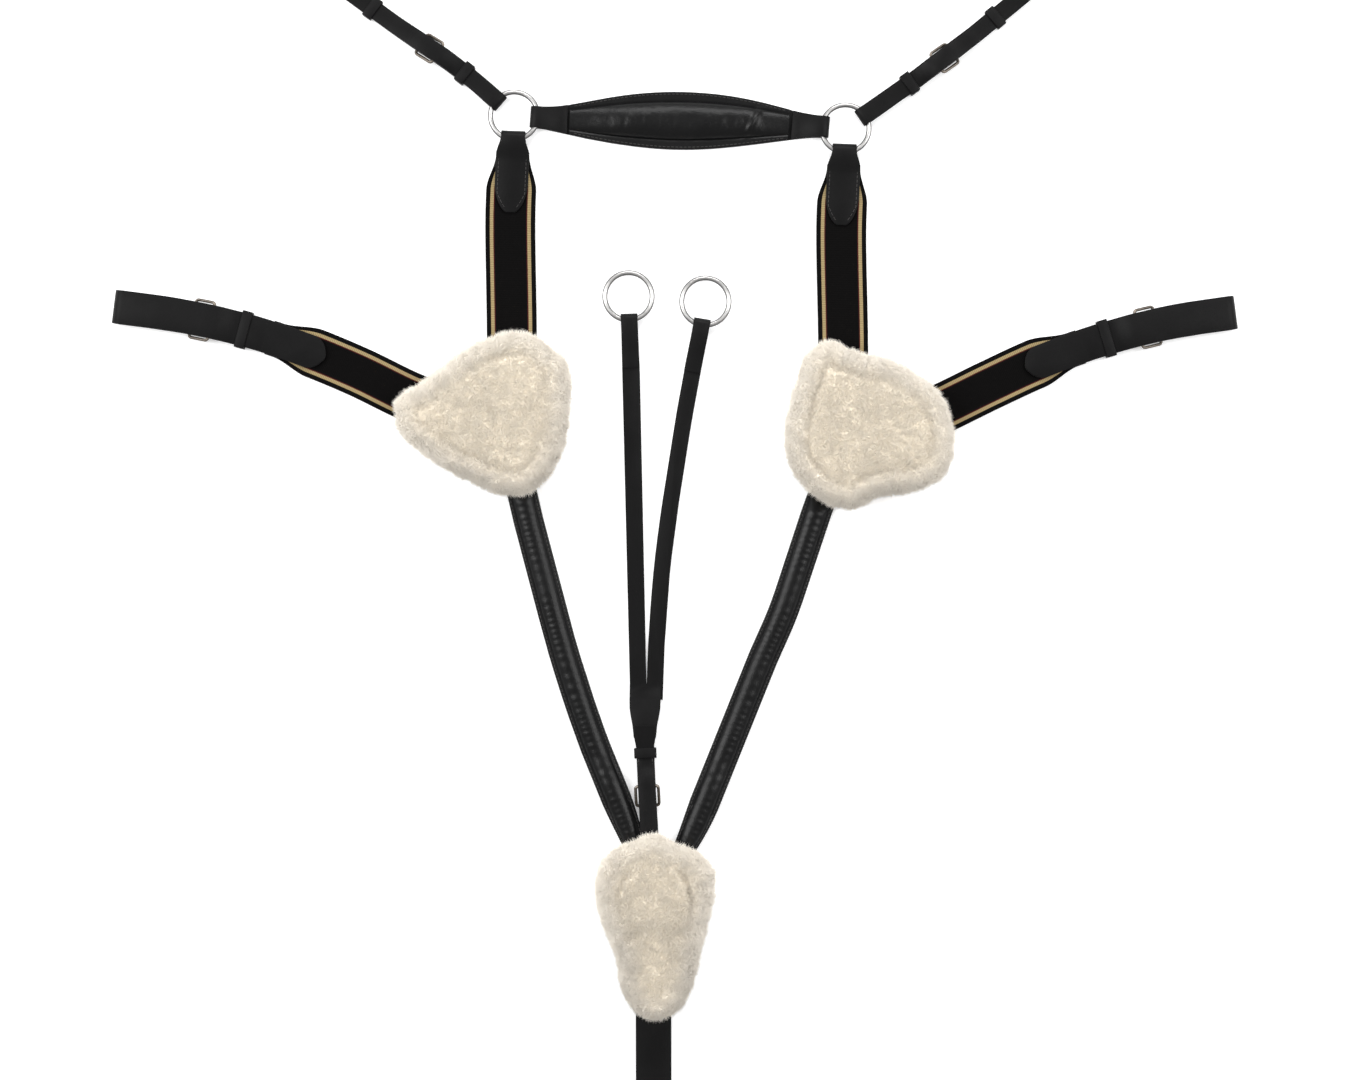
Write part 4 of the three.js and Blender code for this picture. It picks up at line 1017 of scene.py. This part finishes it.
class BREASTPLATE_OT_studio(bpy.types.Operator):
    """Sets up the pale floor, the soft lights and the camera straight above"""
    bl_idname = "breastplate.studio"
    bl_label = "Studio"

    def execute(self, context):
        centre = ground_point(*VIEW_CENTRE)
        bpy.ops.object.select_all(action="DESELECT")
        ground = CAD_BOX[0][2] - 0.0002
        bpy.ops.mesh.primitive_plane_add(size=FLOOR_SIZE, location=(centre.x, centre.y, ground))
        floor = context.active_object
        floor.name = "Floor"
        material, tree, shader = make_material("Floor", roughness=0.9, specular_ior_level=0.05)
        shader.inputs["Base Color"].default_value = (0.9, 0.9, 0.9, 1)
        shader.inputs["Emission Color"].default_value = (1, 1, 1, 1)
        shader.inputs["Emission Strength"].default_value = 0.34
        floor.data.materials.append(material)
        lights = [area_light(*row) for row in (
            ("Left light", (centre.x - 2.3, centre.y + 0.5, 2.3), centre, (1.6, 2.6), 88),
            ("Right light", (centre.x + 2.3, centre.y + 0.4, 2.3), centre, (1.6, 2.6), 66),
            ("Far light", (centre.x + 0.2, centre.y + 2.6, 1.9), centre, (2.6, 1.0), 62),
        )]
        world = context.scene.world or bpy.data.worlds.new("Studio")
        context.scene.world = world
        world.use_nodes = True
        world.node_tree.nodes["Background"].inputs["Color"].default_value = (1, 1, 1, 1)
        world.node_tree.nodes["Background"].inputs["Strength"].default_value = 0.4
        bpy.ops.object.camera_add(location=(centre.x, centre.y, CAMERA_HEIGHT), rotation=(0, 0, 0))
        camera = context.active_object
        camera.data.lens = 85
        camera.data.sensor_width = 36
        camera.data.clip_start = 0.05
        context.scene.camera = camera
        context.scene.view_settings.view_transform = "Standard"
        context.scene.view_settings.look = "None"
        return {"FINISHED"}


STEPS = (BREASTPLATE_OT_materials, BREASTPLATE_OT_elastics, BREASTPLATE_OT_padded_straps,
         BREASTPLATE_OT_crest, BREASTPLATE_OT_rings, BREASTPLATE_OT_leatherwork, BREASTPLATE_OT_buckles,
         BREASTPLATE_OT_sewing, BREASTPLATE_OT_sheepskin, BREASTPLATE_OT_studio)


class BREASTPLATE_PT_panel(bpy.types.Panel):
    """Lists the breastplate's sizes and steps"""
    bl_idname = "BREASTPLATE_PT_panel"
    bl_label = "Breastplate"
    bl_space_type = "VIEW_3D"
    bl_region_type = "UI"
    bl_category = "Breastplate"

    def draw(self, context):
        for group, sizes in GROUPS.items():
            box = self.layout.box()
            for name in sizes.__annotations__:
                box.prop(getattr(context.scene, group), name)
        for step in STEPS:
            self.layout.operator(step.bl_idname)


def register():
    for group, sizes in GROUPS.items():
        bpy.utils.register_class(sizes)
        setattr(bpy.types.Scene, group, PointerProperty(type=sizes))
    for part in (*STEPS, BREASTPLATE_PT_panel):
        bpy.utils.register_class(part)


def unregister():
    for part in reversed((*STEPS, BREASTPLATE_PT_panel)):
        bpy.utils.unregister_class(part)
    for group, sizes in GROUPS.items():
        delattr(bpy.types.Scene, group)
        bpy.utils.unregister_class(sizes)


def main():
    register()
    for step in STEPS:
        family, name = step.bl_idname.split(".")
        getattr(getattr(bpy.ops, family), name)()


if __name__ == "__main__":
    main()
